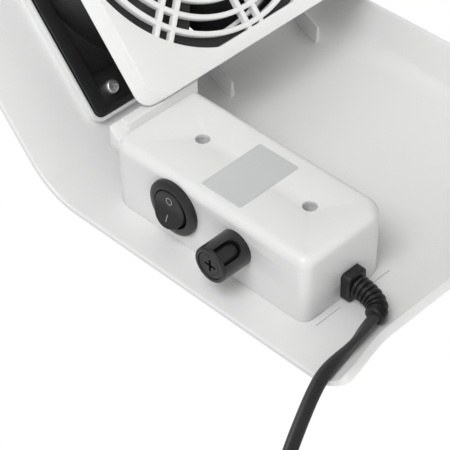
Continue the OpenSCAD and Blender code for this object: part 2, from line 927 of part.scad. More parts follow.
relief_points = [
    [144.4, 42, 13.4], [147, 42, 10.5], [149.6, 42.1, 7.7], [152.2, 42.7, 5.6], [154.3, 44.8, 4.4],
    [155.2, 48.4, 4.2]
];
relief_steps = 4 * relief_ribs;
module strain_relief() {
    color("#161616") {
        on_wing()
            translate([box_end + relief_t / 2, relief_y, relief_v])
                rotate([0, 90, 0])
                    translate([0, 0, -relief_t / 2])
                        rounded_block(relief_h, relief_w, relief_t, 1.5);
        on_wing()
            translate([box_end - 6, relief_y, relief_v])
                rotate([0, 90, 0]) cylinder(r = relief_r, h = 6);
        tube(relief_points,
            [for (i = [0:relief_steps])
                let (r = relief_r - (relief_r - relief_tip_r) * i / relief_steps,
                     q = i % 4 < 2 ? r : r - 0.8)
                [q, q]], 12);
    }
}

module power_cord() {
    color("#1a1a1a")
    tube(lead_points, [for (i = [0:30]) [cord_w / 2, cord_t / 2]], 10);
}

module cord_coil() {
    color("#1a1a1a")
    translate([coil_x, coil_y, 0])
        rotate_extrude($fn = 64)
            polygon([
                [coil_in + 2, 0.1], [coil_out - 2, 0.1], [coil_out, 2], [coil_out, coil_h - 3],
                [coil_out - 3, coil_h], [coil_in + 3, coil_h], [coil_in, coil_h - 3], [coil_in, 2]]);
}

module cord_tail() {
    color("#1a1a1a")
    tube(tail_points, [for (i = [0:10]) [cord_w / 2, cord_t / 2]], 10);
}

module plug_body() {
    color("#161616")
    translate([plug_x, plug_back - plug_boot, plug_h / 2]) {
        rotate([-90, 0, 0]) cylinder(r1 = 5, r2 = 3.6, h = plug_boot);
        translate([0, 0, -plug_h / 2])
            hull() {
                for (x = [-1, 1]) {
                    translate([x * 4, -3, plug_h / 2]) sphere(r = 5, $fn = hull_fn);
                    translate([x * (plug_w / 2 - 6), -plug_len + 3, 0])
                        cylinder(r = 6, h = plug_h, $fn = hull_fn);
                    translate([x * (plug_w / 2 - 6), -plug_len + 12, 0])
                        cylinder(r = 6, h = plug_h, $fn = hull_fn);
                }
            }
    }
}

module plug_pins() {
    color("silver")
    for (x = [-1, 1])
        translate([plug_x + x * pin_gap / 2, plug_back - plug_boot - plug_len - 3, plug_h / 2])
            rotate([90, 0, 0]) {
                cylinder(d = 4, h = pin_len - 2);
                translate([0, 0, pin_len - 2]) sphere(d = 4);
            }
}

arch_shell();
intake_grille();
fan_frame();
fan_rotor();
rotor_magnet();
rotor_shaft();
inner_bearing();
outer_bearing();
shaft_clip();
motor_stator();
motor_board();
fan_screws();
exhaust_guard();
box_cover();
box_screws();
blank_label();
switch_body();
switch_rocker();
switch_terminals();
fuse_holder();
fuse_nut();
fuse_cap();
glass_fuse();
fuse_contact();
circuit_board();
transformer();
bulk_capacitor();
output_capacitor();
heat_sink();
power_transistor();
terminal_block();
fan_leads();
strain_relief();
power_cord();
cord_coil();
cord_tail();
plug_body();
plug_pins();
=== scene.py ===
"""Nail dust collector: the looks of a white moulded arch over an axial fan, with its mains box.

Lengths are in millimetres up to the point where a surface becomes a mesh in metres.
"""
import math

import bmesh
import bpy
import numpy as np
from mathutils import Matrix, Vector


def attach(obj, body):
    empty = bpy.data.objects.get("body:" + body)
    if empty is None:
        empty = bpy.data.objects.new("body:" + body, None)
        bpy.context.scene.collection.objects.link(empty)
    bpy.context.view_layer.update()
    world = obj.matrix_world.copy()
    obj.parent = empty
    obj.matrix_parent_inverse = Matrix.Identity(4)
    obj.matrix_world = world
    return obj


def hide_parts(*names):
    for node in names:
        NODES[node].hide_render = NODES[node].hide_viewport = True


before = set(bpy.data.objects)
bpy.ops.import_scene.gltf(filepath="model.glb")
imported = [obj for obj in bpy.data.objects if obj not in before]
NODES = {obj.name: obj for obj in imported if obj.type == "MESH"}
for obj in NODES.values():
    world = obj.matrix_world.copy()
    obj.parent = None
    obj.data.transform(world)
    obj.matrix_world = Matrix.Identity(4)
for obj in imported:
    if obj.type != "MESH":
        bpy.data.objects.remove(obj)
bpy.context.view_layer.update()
MM = 0.001
QUARTER = math.pi / 2

# The arch
DEPTH = 160.0  # from the open back edge to the skirt's foot
HEIGHT = 108.0  # inside, from the table to the underside of the top
BEND_X = 71.0  # from the middle to the corner that top and wing would make
ANGLE = math.radians(49.3)  # how far the wing turns down
WALL = 2.5
BEND_R = 30.0
BEND_RUN = BEND_R * math.tan(ANGLE / 2)
SKIRT_H = 16.5
LEAN = math.radians(27)  # the skirt's lean out of upright
GROOVE_Y = DEPTH - SKIRT_H * math.tan(LEAN) - WALL * math.cos(LEAN)
WING_TIP = HEIGHT / math.sin(ANGLE) + WALL / math.tan(ANGLE)
CORNER_R = 10.0
DRAWN_BACK = 5.0  # how much sooner the wing ends between its corners
# The fan and its guard
FAN_Y = -11.5
FAN = 112.0
SEAT = FAN / 2 + 0.4  # half the width inside the seat's lip
SEAT_MORE = 3.4  # how much further out the seat stands towards the back edge
INTAKE_R = 52
FAN_HOLES = [(x, y) for x in (-48, 48) for y in (-48, 48)]
FAN_DEPTH = 38.0
GUARD = 59  # half the guard's width
PANEL = (-GUARD, GUARD, -57, 57, [9] * 4)
# The mains box on the wing
BOX_START = 22.0
BOX_END = 116.5
BOX_INSET = 15.0
BOX_W = 43.0
BOX_H = 29.15
COLLAR = 4.4
CONTROL_H = 16.3  # of the switch's and the fuse's axes over the wing
SWITCH_X = 52.6
FUSE_X = 83.5
SCREWS_X = (43.9, 97.2)
SCREW_Y = 38.0
SCREW_SEAT = 10.1
RELIEF_Y = 38.0
RELIEF_V = 6.0


# ------------------------------------------------------------------ places

def place(columns, origin):
    """A 4 x 4 matrix from the directions of a piece's own x, y and z, and its origin."""
    m = np.eye(4)
    m[:3, :3] = np.array(columns, float).T
    m[:3, 3] = origin
    return m


COS, SIN = math.cos(ANGLE), math.sin(ANGLE)
WORLD = np.eye(4)
# On the underside of the top: y from the open back edge, z down.
TOP = place([(1, 0, 0), (0, -1, 0), (0, 0, -1)], (0, DEPTH / 2, HEIGHT))
# At the fan's axis: z down from the underside of the top.
AT_FAN = place([(1, 0, 0), (0, -1, 0), (0, 0, -1)], (0, FAN_Y, HEIGHT))
# On the wing with the box: x down the wing, y from the back edge, z out of the wing.
WING = place([(COS, 0, -SIN), (0, -1, 0), (-SIN, 0, -COS)], (BEND_X, DEPTH / 2, HEIGHT))


def shifted(where, x, y, z=0.0):
    """The same place with its origin moved along its own directions."""
    return where @ place(np.eye(3), (x, y, z))


def tipped(angle, origin=(0, 0, 0)):
    """A place turned about its x."""
    c, s = math.cos(angle), math.sin(angle)
    return place([(1, 0, 0), (0, c, s), (0, -s, c)], origin)


def box_face(x):
    """On the back face of the box: x down the wing, y out of the wing, z out of the face."""
    return WING @ place([(1, 0, 0), (0, 0, 1), (0, -1, 0)], (x, BOX_INSET, CONTROL_H))


def box_end(y, v):
    """On the lower end of the box: x away from the back edge, y out of the wing, z out."""
    return WING @ place([(0, 1, 0), (0, 0, 1), (1, 0, 0)], (BOX_END, y, v))


AT_GUARD = shifted(AT_FAN, 0, 0, FAN_DEPTH)
AT_SWITCH = box_face(SWITCH_X)
AT_FUSE = box_face(FUSE_X)


# ------------------------------------------------------------------ meshes

def smoothstep(x):
    """The cubic 3 x^2 - 2 x^3, held at 0 and 1 outside that span."""
    x = np.clip(x, 0, 1)
    return x * x * (3 - 2 * x)


def new_piece(name, points, faces, where=WORLD):
    """A mesh from points in millimetres in the frame `where`; doubles merge, faces turn out."""
    p = np.asarray(points, float).reshape(-1, 3)
    p = (p @ where[:3, :3].T + where[:3, 3]) * MM
    mesh = bpy.data.meshes.new(name)
    mesh.from_pydata(p.tolist(), [], [list(map(int, f)) for f in faces])
    piece = bpy.data.objects.new(name, mesh)
    bpy.context.scene.collection.objects.link(piece)
    tidy(piece)
    return piece


def tidy(piece):
    """Merges doubles and turns all faces outwards."""
    bm = bmesh.new()
    bm.from_mesh(piece.data)
    bmesh.ops.remove_doubles(bm, verts=bm.verts, dist=2e-6)
    bmesh.ops.dissolve_degenerate(bm, edges=bm.edges, dist=1e-7)
    bmesh.ops.recalc_face_normals(bm, faces=bm.faces)
    bm.to_mesh(piece.data)
    bm.free()


def skin(loops, cap_first=True, cap_last=True):
    """Points and faces of a skin through closed loops of equal length: neighbours are joined
    by quads, and the first and last loop can each be closed by one face."""
    loops = np.asarray(loops, float)
    n, k = loops.shape[:2]
    i, j = np.meshgrid(np.arange(n - 1), np.arange(k), indexing="ij")
    a = i * k + j
    b = i * k + (j + 1) % k
    faces = np.stack([a, b, b + k, a + k], -1).reshape(-1, 4).tolist()
    if cap_first:
        faces.append(list(range(k))[::-1])
    if cap_last:
        faces.append([(n - 1) * k + q for q in range(k)])
    return loops.reshape(-1, 3), faces


def turned(profile, steps=64):
    """A turned form: radius and height pairs carried round the z axis, closed at both ends."""
    profile = np.asarray(profile, float)
    a = np.linspace(0, 2 * np.pi, steps, endpoint=False)
    ring = np.stack([np.cos(a), np.sin(a)], -1)
    loops = np.concatenate([profile[:, None, :1] * ring[None],
                            np.repeat(profile[:, None, 1:], steps, 1)], -1)
    return skin(loops)


def rod(r, z0, z1, steps=64):
    """A plain cylinder on the z axis."""
    return turned([(0, z0), (r, z0), (r, z1), (0, z1)], steps)


def turned_ring(profile, steps=96):
    """A turned ring: a closed outline of radius and height pairs carried round the z axis."""
    profile = np.asarray(profile, float)
    a = np.linspace(0, 2 * np.pi, steps, endpoint=False)
    points = np.stack([profile[None, :, 0] * np.cos(a)[:, None],
                       profile[None, :, 0] * np.sin(a)[:, None],
                       np.repeat(profile[None, :, 1], steps, 0)], -1)
    n, k = points.shape[:2]
    i, j = np.meshgrid(np.arange(n), np.arange(k), indexing="ij")
    quads = np.stack([i * k + j, i * k + (j + 1) % k,
                      (i + 1) % n * k + (j + 1) % k, (i + 1) % n * k + j], -1)
    return points.reshape(-1, 3), quads.reshape(-1, 4).tolist()


def round_outline(corners, radii, per_corner=8):
    """An outline with an arc of its own radius at each corner of a convex polygon."""
    corners = np.asarray(corners, float)
    out = []
    for i, c in enumerate(corners):
        back = corners[i - 1] - c
        ahead = corners[(i + 1) % len(corners)] - c
        back /= np.linalg.norm(back)
        ahead /= np.linalg.norm(ahead)
        half = math.acos(np.clip(back @ ahead, -1, 1)) / 2
        r = max(radii[i], 0.02)
        centre = c + (back + ahead) / np.linalg.norm(back + ahead) * r / math.sin(half)
        a0 = math.atan2(*(c + back * r / math.tan(half) - centre)[::-1])
        a1 = math.atan2(*(c + ahead * r / math.tan(half) - centre)[::-1])
        turn = (a1 - a0 + math.pi) % (2 * math.pi) - math.pi
        t = a0 + turn * np.linspace(0, 1, per_corner + 1)
        out.append(centre + r * np.stack([np.cos(t), np.sin(t)], -1))
    return np.concatenate(out)


def box_outline(x0, x1, y0, y1, radii, inset=0.0, per_corner=8):
    """The outline of a rectangle with a radius at each corner, drawn in by `inset`."""
    corners = [(x0 + inset, y0 + inset), (x1 - inset, y0 + inset),
               (x1 - inset, y1 - inset), (x0 + inset, y1 - inset)]
    return round_outline(corners, [max(r - inset, 0.05) for r in radii], per_corner)


def at_height(outline, z):
    """A flat outline as points at one height."""
    return np.concatenate([outline, np.full((len(outline), 1), float(z))], 1)


def soft_block(x0, x1, y0, y1, z0, z1, radii, top=0.0, bottom=0.0):
    """A block whose upright corners and top and bottom edges are round: the outline is
    drawn in by r (1 - sin a) as the height goes up by r cos a over the last r."""
    loops = []
    for a in np.linspace(0, QUARTER, 6 if bottom else 1):
        loops.append(at_height(box_outline(x0, x1, y0, y1, radii, bottom * (1 - math.sin(a))),
                               z0 + bottom * (1 - math.cos(a))))
    for a in np.linspace(QUARTER, 0, 6 if top else 1):
        loops.append(at_height(box_outline(x0, x1, y0, y1, radii, top * (1 - math.sin(a))),
                               z1 - top * (1 - math.cos(a))))
    return skin(loops)


def prism(outline, z0, z1):
    """A straight-sided form over an outline."""
    return skin([at_height(outline, z0), at_height(outline, z1)])


def spun(part, degrees):
    """A part turned about z."""
    c, s = math.cos(math.radians(degrees)), math.sin(math.radians(degrees))
    return np.asarray(part[0], float) @ np.array([[c, s, 0], [-s, c, 0], [0, 0, 1]]), part[1]


def mirrored(part):
    """A part for the other wing."""
    return part[0] * (-1, 1, 1), part[1]


def evaluated(piece):
    """Applies the piece's modifiers to its mesh."""
    bpy.context.view_layer.update()
    graph = bpy.context.evaluated_depsgraph_get()
    mesh = bpy.data.meshes.new_from_object(piece.evaluated_get(graph), depsgraph=graph)
    mesh.name = piece.name
    piece.modifiers.clear()
    piece.data = mesh


def cutter(part, where):
    """A closed form that only cuts."""
    return new_piece("cutter", *part, where)


def carved(piece, *cutters):
    """Cuts closed pieces out of a closed piece."""
    for tool in cutters:
        m = piece.modifiers.new("cut", "BOOLEAN")
        m.operation = "DIFFERENCE"
        m.solver = "EXACT"
        m.object = tool
        evaluated(piece)
        bpy.data.objects.remove(tool)


def softened(piece, width, steps=2, angle=35):
    """Rounds the sharp edges by `width` millimetres."""
    m = piece.modifiers.new("soft", "BEVEL")
    m.width = width * MM
    m.segments = steps
    m.limit_method = "ANGLE"
    m.angle_limit = math.radians(angle)
    m.use_clamp_overlap = True
    evaluated(piece)
    return piece


def shaded(piece, angle=32):
    """Smooth shading, with edges sharper than `angle` kept crisp."""
    mesh = piece.data
    mesh.polygons.foreach_set("use_smooth", np.ones(len(mesh.polygons), bool))
    mesh.set_sharp_from_angle(angle=math.radians(angle))


def settle(piece, body, slot, material, nodes=(), angle=32):
    """Shades a piece, gives it its material and body, and hides the nodes that it stands for."""
    shaded(piece, angle)
    piece.data.materials.clear()
    piece.data.materials.append(material)
    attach(piece, body)
    if nodes:
        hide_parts(*nodes)
    return piece


def softened_copy(name, node, width):
    """A copy of a node's mesh, merged, with flat facets joined and its edges rounded."""
    mesh = NODES[node].data.copy()
    piece = bpy.data.objects.new(name, mesh)
    bpy.context.scene.collection.objects.link(piece)
    bm = bmesh.new()
    bm.from_mesh(mesh)
    bmesh.ops.remove_doubles(bm, verts=bm.verts, dist=2e-6)
    bmesh.ops.dissolve_limit(bm, angle_limit=math.radians(1), verts=bm.verts, edges=bm.edges)
    bm.to_mesh(mesh)
    bm.free()
    return softened(piece, width)


# ------------------------------------------------------------------ materials

def linear(code):
    """An sRGB hex value as linear red, green, blue, alpha."""
    c = np.array([int(code[i:i + 2], 16) for i in (1, 3, 5)]) / 255
    c = np.where(c <= 0.04045, c / 12.92, ((c + 0.055) / 1.055) ** 2.4)
    return (*map(float, c), 1.0)


def add(tree, kind, settings=None, links=None):
    """Adds a node; settings name its attributes or input sockets, links name its inputs."""
    n = tree.nodes.new(kind)
    for key, value in (settings or {}).items():
        if key in n.inputs:
            n.inputs[key].default_value = value
        else:
            setattr(n, key, value)
    for key, source in (links or {}).items():
        tree.links.new(source, n.inputs[key])
    return n


def finish(name, colour, rough, ior=1.5, metal=0.0, grain=0.6, bump=0.15, tone=0.04,
           rough_spread=0.06, spots=None, sheen=0.0):
    """A surface with a fine grain in its height, and slow changes in its tone and gloss.
    `grain` is the grain's size in millimetres; `spots` gives the colour, the spacing in
    millimetres and the share of round spots."""
    m = bpy.data.materials.new(name)
    m.use_nodes = True
    t = m.node_tree
    shader = t.nodes["Principled BSDF"]
    shader.inputs["IOR"].default_value = ior
    shader.inputs["Metallic"].default_value = metal
    shader.inputs["Sheen Weight"].default_value = sheen
    where = add(t, "ShaderNodeTexCoord").outputs["Object"]
    fine = add(t, "ShaderNodeTexNoise", {"Scale": 1000 / grain, "Detail": 3.0, "Roughness": 0.6},
               {"Vector": where})
    slow = add(t, "ShaderNodeTexNoise", {"Scale": 28.0, "Detail": 4.0, "Roughness": 0.55},
               {"Vector": where})
    mix = add(t, "ShaderNodeMix", {"data_type": "RGBA", "blend_type": "MIX"})
    dark = linear(colour)
    pale = [min(1.0, c * (1 + tone)) for c in dark[:3]] + [1.0]
    dark = [c * (1 - tone) for c in dark[:3]] + [1.0]
    mix.inputs[6].default_value = dark
    mix.inputs[7].default_value = pale
    t.links.new(slow.outputs["Fac"], mix.inputs[0])
    colour_out = mix.outputs[2]
    if spots:
        spot_colour, spot_size, share = spots
        cells = add(t, "ShaderNodeTexVoronoi", {"Scale": 1000 / spot_size}, {"Vector": where})
        mask = add(t, "ShaderNodeValToRGB", links={"Fac": cells.outputs["Distance"]})
        for stop, at, level in zip(mask.color_ramp.elements, (share, share + 0.06), (1, 0)):
            stop.position, stop.color = at, (level, level, level, 1)
        over = add(t, "ShaderNodeMix", {"data_type": "RGBA"})
        over.inputs[7].default_value = linear(spot_colour)
        t.links.new(mask.outputs["Color"], over.inputs[0])
        t.links.new(colour_out, over.inputs[6])
        colour_out = over.outputs[2]
    t.links.new(colour_out, shader.inputs["Base Color"])
    gloss = add(t, "ShaderNodeMapRange", {"To Min": max(0.02, rough - rough_spread),
                                          "To Max": min(1.0, rough + rough_spread)},
                {"Value": slow.outputs["Fac"]})
    t.links.new(gloss.outputs["Result"], shader.inputs["Roughness"])
    relief = add(t, "ShaderNodeBump", {"Strength": bump, "Distance": 0.00005},
                 {"Height": fine.outputs["Fac"]})
    t.links.new(relief.outputs["Normal"], shader.inputs["Normal"])
    return m


# ABS, injection moulded against a finely eroded steel mould: bright, clean white with a
# satin gloss and a faint grain, drawn at 1.2 mm so that it shows.
abs_white = finish("moulded_abs_white", "#E3E3E3", 0.36, 1.52, grain=1.2, bump=0.02, tone=0.012,
                   rough_spread=0.05)
# The same ABS from the guard's own mould, a little glossier.
abs_grille = finish("moulded_abs_grille", "#E9E9E9", 0.32, 1.52, grain=1.2, bump=0.02, tone=0.012,
                    rough_spread=0.04)
SHELL = ("arch", "shell_plastic", abs_white)
GRILLE = ("arch", "grille_plastic", abs_grille)
# Glass-filled PBT, moulded: near-black with a dull gloss and a fibre-speckled skin.
pbt_black = finish("glass_filled_pbt", "#1B1B1D", 0.46, 1.55, grain=0.5, bump=0.35, tone=0.12)
pbt_rotor = finish("glass_filled_pbt_rotor", "#202023", 0.42, 1.55, grain=0.5, bump=0.3,
                   tone=0.1)
# Polyamide, moulded and lightly eroded: black, satin, even.
pa_black = finish("moulded_polyamide", "#1C1C1D", 0.38, 1.53, grain=0.35, bump=0.3, tone=0.08)
pa_fuse = finish("moulded_phenolic", "#161617", 0.3, 1.56, grain=0.4, bump=0.22, tone=0.08)
# Flexible PVC, extruded over the wires: black with a soft sheen and slight drag marks.
pvc_cord = finish("extruded_pvc", "#383838", 0.42, 1.52, grain=0.9, bump=0.4, tone=0.12,
                  sheen=0.05)
pvc_relief = finish("moulded_pvc", "#17171A", 0.48, 1.52, grain=0.5, bump=0.3, tone=0.1)
RUBBER = ("arch", "cord_jacket", pvc_relief)
# Zinc-plated steel, cold headed: bright bluish grey with a slightly uneven lustre.
zinc = finish("zinc_plated_steel", "#F0F0F1", 0.42, metal=1.0, grain=0.4, bump=0.2, tone=0.06)
ground_steel = finish("ground_steel", "#C9C9CB", 0.2, metal=1.0, grain=0.3, bump=0.15, tone=0.05)
tin_brass = finish("tinned_brass", "#C9BE93", 0.3, metal=1.0, grain=0.4, bump=0.15, tone=0.08)
# Extruded aluminium, as sawn: pale grey with soft drag lines.
raw_aluminium = finish("extruded_aluminium", "#C3C5C7", 0.36, metal=1.0, grain=0.5, bump=0.25)
# Satin polyester foil on a peel-off backing: flat silver grey.
label_foil = finish("satin_foil", "#C9CBCC", 0.38, 1.5, metal=0.15, grain=0.4, bump=0.08,
                    tone=0.03)
white_ink = finish("pad_printed_ink", "#B9B9B6", 0.5, 1.5, grain=0.3, bump=0.1, tone=0.03)
copper = finish("enamelled_copper", "#A4582B", 0.3, metal=0.85, grain=0.45, bump=0.8, tone=0.15)
solder_mask = finish("solder_mask", "#1F5B38", 0.3, 1.5, grain=0.5, bump=0.1, tone=0.12,
                     spots=("#C8CCC4", 2.4, 0.16))
ferrite = finish("bonded_ferrite", "#3A3A3D", 0.6, 1.6, grain=0.4, bump=0.4, tone=0.1)
tape_yellow = finish("polyester_tape", "#D8B93C", 0.35, 1.5, grain=0.6, bump=0.2, tone=0.08)
sleeve_blue = finish("shrink_sleeve", "#1B2548", 0.25, 1.5, grain=0.5, bump=0.1, tone=0.08)
epoxy_black = finish("filled_epoxy", "#202021", 0.6, 1.55, grain=0.3, bump=0.35, tone=0.1)
pa_green = finish("moulded_polyamide_green", "#2C7A58", 0.42, 1.53, grain=0.4, bump=0.2, tone=0.06)
glass_clear = finish("fuse_glass", "#E8F0EF", 0.05, 1.5, grain=0.8, bump=0.02, tone=0.01)
glass_clear.node_tree.nodes["Principled BSDF"].inputs["Transmission Weight"].default_value = 0.9
# Painted board: pale, flat floor.
floor_paint = finish("matt_paint", "#E6E6E4", 0.7, 1.45, grain=3.0, bump=0.05, tone=0.015)


# ------------------------------------------------------------------ camera

# Low behind the arch, looking up at the fan and the box; a long lens, in metres.
lens = bpy.data.cameras.new("camera")
lens.lens = 148.9
lens.sensor_width = 36.0
lens.clip_start = 0.02
lens.clip_end = 20.0
camera = bpy.data.objects.new("camera", lens)
bpy.context.scene.collection.objects.link(camera)
eye = Vector((-0.0026, 0.4027, -0.5139))
ahead = Vector((0.16383, -0.51784, 0.83964)).normalized()
upward = Vector((-0.86452, -0.48533, -0.13064))
right = ahead.cross(upward).normalized()
upward = right.cross(ahead)
camera.matrix_world = Matrix((
    (right.x, upward.x, -ahead.x, eye.x),
    (right.y, upward.y, -ahead.y, eye.y),
    (right.z, upward.z, -ahead.z, eye.z),
    (0, 0, 0, 1)))
bpy.context.scene.camera = camera


# ------------------------------------------------------------------ cord

def smooth_path(points, per_span):
    """A Catmull-Rom curve through the points: a cubic on each span whose end slopes are
    half the difference of the neighbours on either side."""
    p = np.asarray(points, float)
    p = np.concatenate([[2 * p[0] - p[1]], p, [2 * p[-1] - p[-2]]])
    t = np.linspace(0, 1, per_span, endpoint=False)[:, None]
    spans = [0.5 * (2 * p[i] + (p[i + 1] - p[i - 1]) * t
                    + (2 * p[i - 1] - 5 * p[i] + 4 * p[i + 1] - p[i + 2]) * t ** 2
                    + (3 * p[i] - p[i - 1] - 3 * p[i + 1] + p[i + 2]) * t ** 3)
             for i in range(1, len(p) - 2)]
    return np.concatenate(spans + [p[-2:-1]])


def resampled(path, step):
    """The path at equal steps along its length."""
    run = np.concatenate([[0], np.cumsum(np.linalg.norm(np.diff(path, axis=0), axis=1))])
    s = np.linspace(0, run[-1], max(2, int(round(run[-1] / step)) + 1))
    return np.stack([np.interp(s, run, path[:, k]) for k in range(3)], -1)


def directions(path):
    """The path's direction at each point, from the points on either side."""
    d = np.gradient(path, axis=0)
    return d / np.linalg.norm(d, axis=1)[:, None]


def swept(path, side, shape):
    """Carries a cross-section along a path: each point of `shape` (ring, point, 2) is laid
    out along `side` and along the direction square to both side and path."""
    d = directions(path)
    side = side - (side * d).sum(1)[:, None] * d
    side /= np.linalg.norm(side, axis=1)[:, None]
    up = np.cross(side, d)
    loops = path[:, None] + shape[..., :1] * side[:, None] + shape[..., 1:] * up[:, None]
    return skin(loops)


CORD_W, CORD_T = 5.4, 3.0
STEP = 1.6  # between the jacket's rings
# From the relief down to the table and out to the coil; 1.7 is its middle when it lies flat.
LEAD = [(155.2, 48.4, 4.2), (156.2, 54, 3.9), (157.4, 60, 3.4), (158.3, 66, 2.8),
        (158.7, 72, 2.2), (159.2, 77, 1.8), (160.6, 82, 1.7), (163.4, 88, 1.7),
        (166.7, 94, 1.7), (170.2, 100, 1.7), (174.6, 107, 1.7), (180, 114.4, 1.7),
        (184.8, 119.4, 1.7), (190, 124.2, 1.7), (195.4, 128.6, 1.7)]
COIL_AT = np.array([222.0, 105.0])
COIL_START = (200, 132)
TURNS = 7
OUTER_LANE, TOP_LAYER = 35.6, 8.1


def coil_route():
    """Seven turns laid down clockwise in three layers: the radius and the height step to the
    next lane over the last fifth of each turn."""
    lane = np.array([(OUTER_LANE, 1.7), (30.1, 1.7), (24.9, 1.7), (24.9, 4.9), (30.1, 4.9),
                     (OUTER_LANE, 4.9), (33.2, TOP_LAYER), (35.4, TOP_LAYER)])
    a = np.linspace(0, TURNS, TURNS * 40 + 1)
    k = np.minimum(a.astype(int), TURNS - 1)
    f = smoothstep((a - k - 0.8) / 0.2)
    here = lane[k] + (lane[k + 1] - lane[k]) * f[:, None]
    start = math.atan2(COIL_START[1] - COIL_AT[1], COIL_START[0] - COIL_AT[0])
    w = start - 2 * np.pi * a
    return np.stack([COIL_AT[0] + here[:, 0] * np.cos(w), COIL_AT[1] + here[:, 0] * np.sin(w),
                     here[:, 1]], -1)


coil = coil_route()
# A last part of a turn on top, from the coil's end towards the plug.
w = math.atan2(*(coil[-1, :2] - COIL_AT)[::-1]) - 2 * np.pi * np.linspace(0.08, 0.36, 5)
last = np.stack([COIL_AT[0] + OUTER_LANE * np.cos(w), COIL_AT[1] + OUTER_LANE * np.sin(w),
                 np.full(5, TOP_LAYER)], -1)
TAIL = [(259.6, 99, 6.8), (259.2, 92, 5.6), (257.6, 84, 6.4), (256, 76, 6.8)]
route = resampled(smooth_path(np.concatenate([LEAD, coil[6::6], last, TAIL]), 6), STEP)


def cord_section(count):
    """The jacket's outline at each ring: a flat oval, its cosine and sine raised to 0.7."""
    a = np.linspace(0, 2 * np.pi, 20, endpoint=False)
    c, s = np.cos(a), np.sin(a)
    shape = np.stack([CORD_W / 2 * np.sign(c) * np.abs(c) ** 0.7,
                      CORD_T / 2 * np.sign(s) * np.abs(s) ** 0.7], -1)
    return np.repeat(shape[None], count, 0)


# The cord leaves the relief on edge and turns flat over its first 34 mm.
turn = np.radians(-95) * (1 - smoothstep(np.arange(len(route)) * STEP / 34))
d = directions(route)
flat = np.cross(d, (0, 0, 1.0))
flat /= np.linalg.norm(flat, axis=1)[:, None]
side = flat * np.cos(turn)[:, None] + np.cross(d, flat) * np.sin(turn)[:, None]
cord = new_piece("cord", *swept(route, side, cord_section(len(route))))
settle(cord, "arch", "cord_jacket", pvc_cord, ["power_cord", "cord_coil", "cord_tail"])


# ------------------------------------------------------------------ the arch

def wall_section(r):
    """Two matching chains of (distance from the back edge, height into the arch) for the wall:
    a straight run, an arc of radius r in the groove, and the leaning skirt. The outer chain is
    the inner one moved out by the wall, and both turn into the edges on a small round."""
    turn = QUARTER - LEAN
    t = r * math.tan(turn / 2)
    first = GROOVE_Y - t
    near = np.concatenate([np.linspace(0, 1, 14)[1:] ** 1.5 * 14, np.linspace(16, 56, 17),
                           np.linspace(62, first, 12)])
    straight = np.stack([near, np.zeros_like(near)], -1)
    a = np.linspace(-QUARTER, -LEAN, 13)[1:]
    arc = np.stack([first + r * np.cos(a), r + r * np.sin(a)], -1)
    tip = np.array([GROOVE_Y + SKIRT_H * math.tan(LEAN), SKIRT_H])
    rise = arc[-1] + (tip - arc[-1]) * np.linspace(0, 1, 7)[1:, None]
    inner = np.concatenate([straight, arc, rise])
    out = np.concatenate([np.tile([0, -1.0], (len(straight), 1)),
                          np.stack([np.cos(a), np.sin(a)], -1),
                          np.tile([math.cos(LEAN), -math.sin(LEAN)], (6, 1))])
    edge = 0.9
    q = np.radians([0, 22.5, 45, 67.5, 90])
    along, deep = edge * (1 - np.cos(q)), edge * (1 - np.sin(q))
    head = np.stack([along, np.zeros(5)], -1)
    keep = (inner[:, 0] > edge + 0.1) & (np.arange(len(inner)) < len(inner) - 1)
    up = np.array([math.sin(LEAN), math.cos(LEAN)])
    foot = tip - along[::-1, None] * up
    chain = np.concatenate([head, inner[keep], foot])
    outs = np.concatenate([np.tile([0, -1.0], (5, 1)), out[keep],
                           np.tile([math.cos(LEAN), -math.sin(LEAN)], (5, 1))])
    depth = np.concatenate([deep, np.zeros(keep.sum()), deep[::-1]])[:, None]
    return chain + outs * depth, chain + outs * (WALL - depth)


def wing_end(section):
    """How far down the wing each point of the section ends: at the table near both corners,
    DRAWN_BACK sooner between them, and on an arc at the rounded corner of the back edge."""
    y, v = section[:, 0], section[:, 1]
    table = (HEIGHT - v * COS) / SIN
    table -= DRAWN_BACK * smoothstep((y - 3) / 32) * (1 - smoothstep((y - 120) / 28))
    back = np.clip(CORNER_R - y, 0, CORNER_R)
    corner = WING_TIP - CORNER_R + np.sqrt(CORNER_R ** 2 - back ** 2)
    return np.minimum(table, corner)


def groove_radius(d):
    """The groove is tight at the wing's end and opens out towards the bend."""
    return 2.6 + 9.4 * smoothstep(1 - (d - 18) / 84)


def wall_loop(r):
    """The section as one closed loop: out along the inside, back along the outside."""
    inner, outer = wall_section(r)
    return np.concatenate([inner, outer[::-1]])


def arch_points():
    """Loops of the wall from the middle of the top out to one wing's end. On the bend the
    section turns about the bend's axis; on the wing it runs straight to its end line."""
    loops = []
    for x in np.linspace(0, BEND_X - BEND_RUN, 18):
        s = wall_loop(4 + (groove_radius(0) - 4) * smoothstep((x - 40) / 17))
        loops.append(np.stack([np.full(len(s), x), DEPTH / 2 - s[:, 0], HEIGHT - s[:, 1]], -1))
    for a in np.linspace(0, ANGLE, 19)[1:]:
        s = wall_loop(groove_radius(0))
        r = BEND_R - s[:, 1]
        loops.append(np.stack([BEND_X - BEND_RUN + r * math.sin(a), DEPTH / 2 - s[:, 0],
                               HEIGHT - BEND_R + r * math.cos(a)], -1))
    for f in np.linspace(0, 1, 25)[1:]:
        d = BEND_RUN + f * (HEIGHT / SIN - BEND_RUN)
        s = wall_loop(groove_radius(d))
        d = BEND_RUN + f * (wing_end(s) - BEND_RUN)
        loops.append(np.stack([BEND_X + d * COS - s[:, 1] * SIN, DEPTH / 2 - s[:, 0],
                               HEIGHT - d * SIN - s[:, 1] * COS], -1))
    half = np.array(loops)
    other = half[:0:-1] * (-1, 1, 1)
    return np.concatenate([other, half])


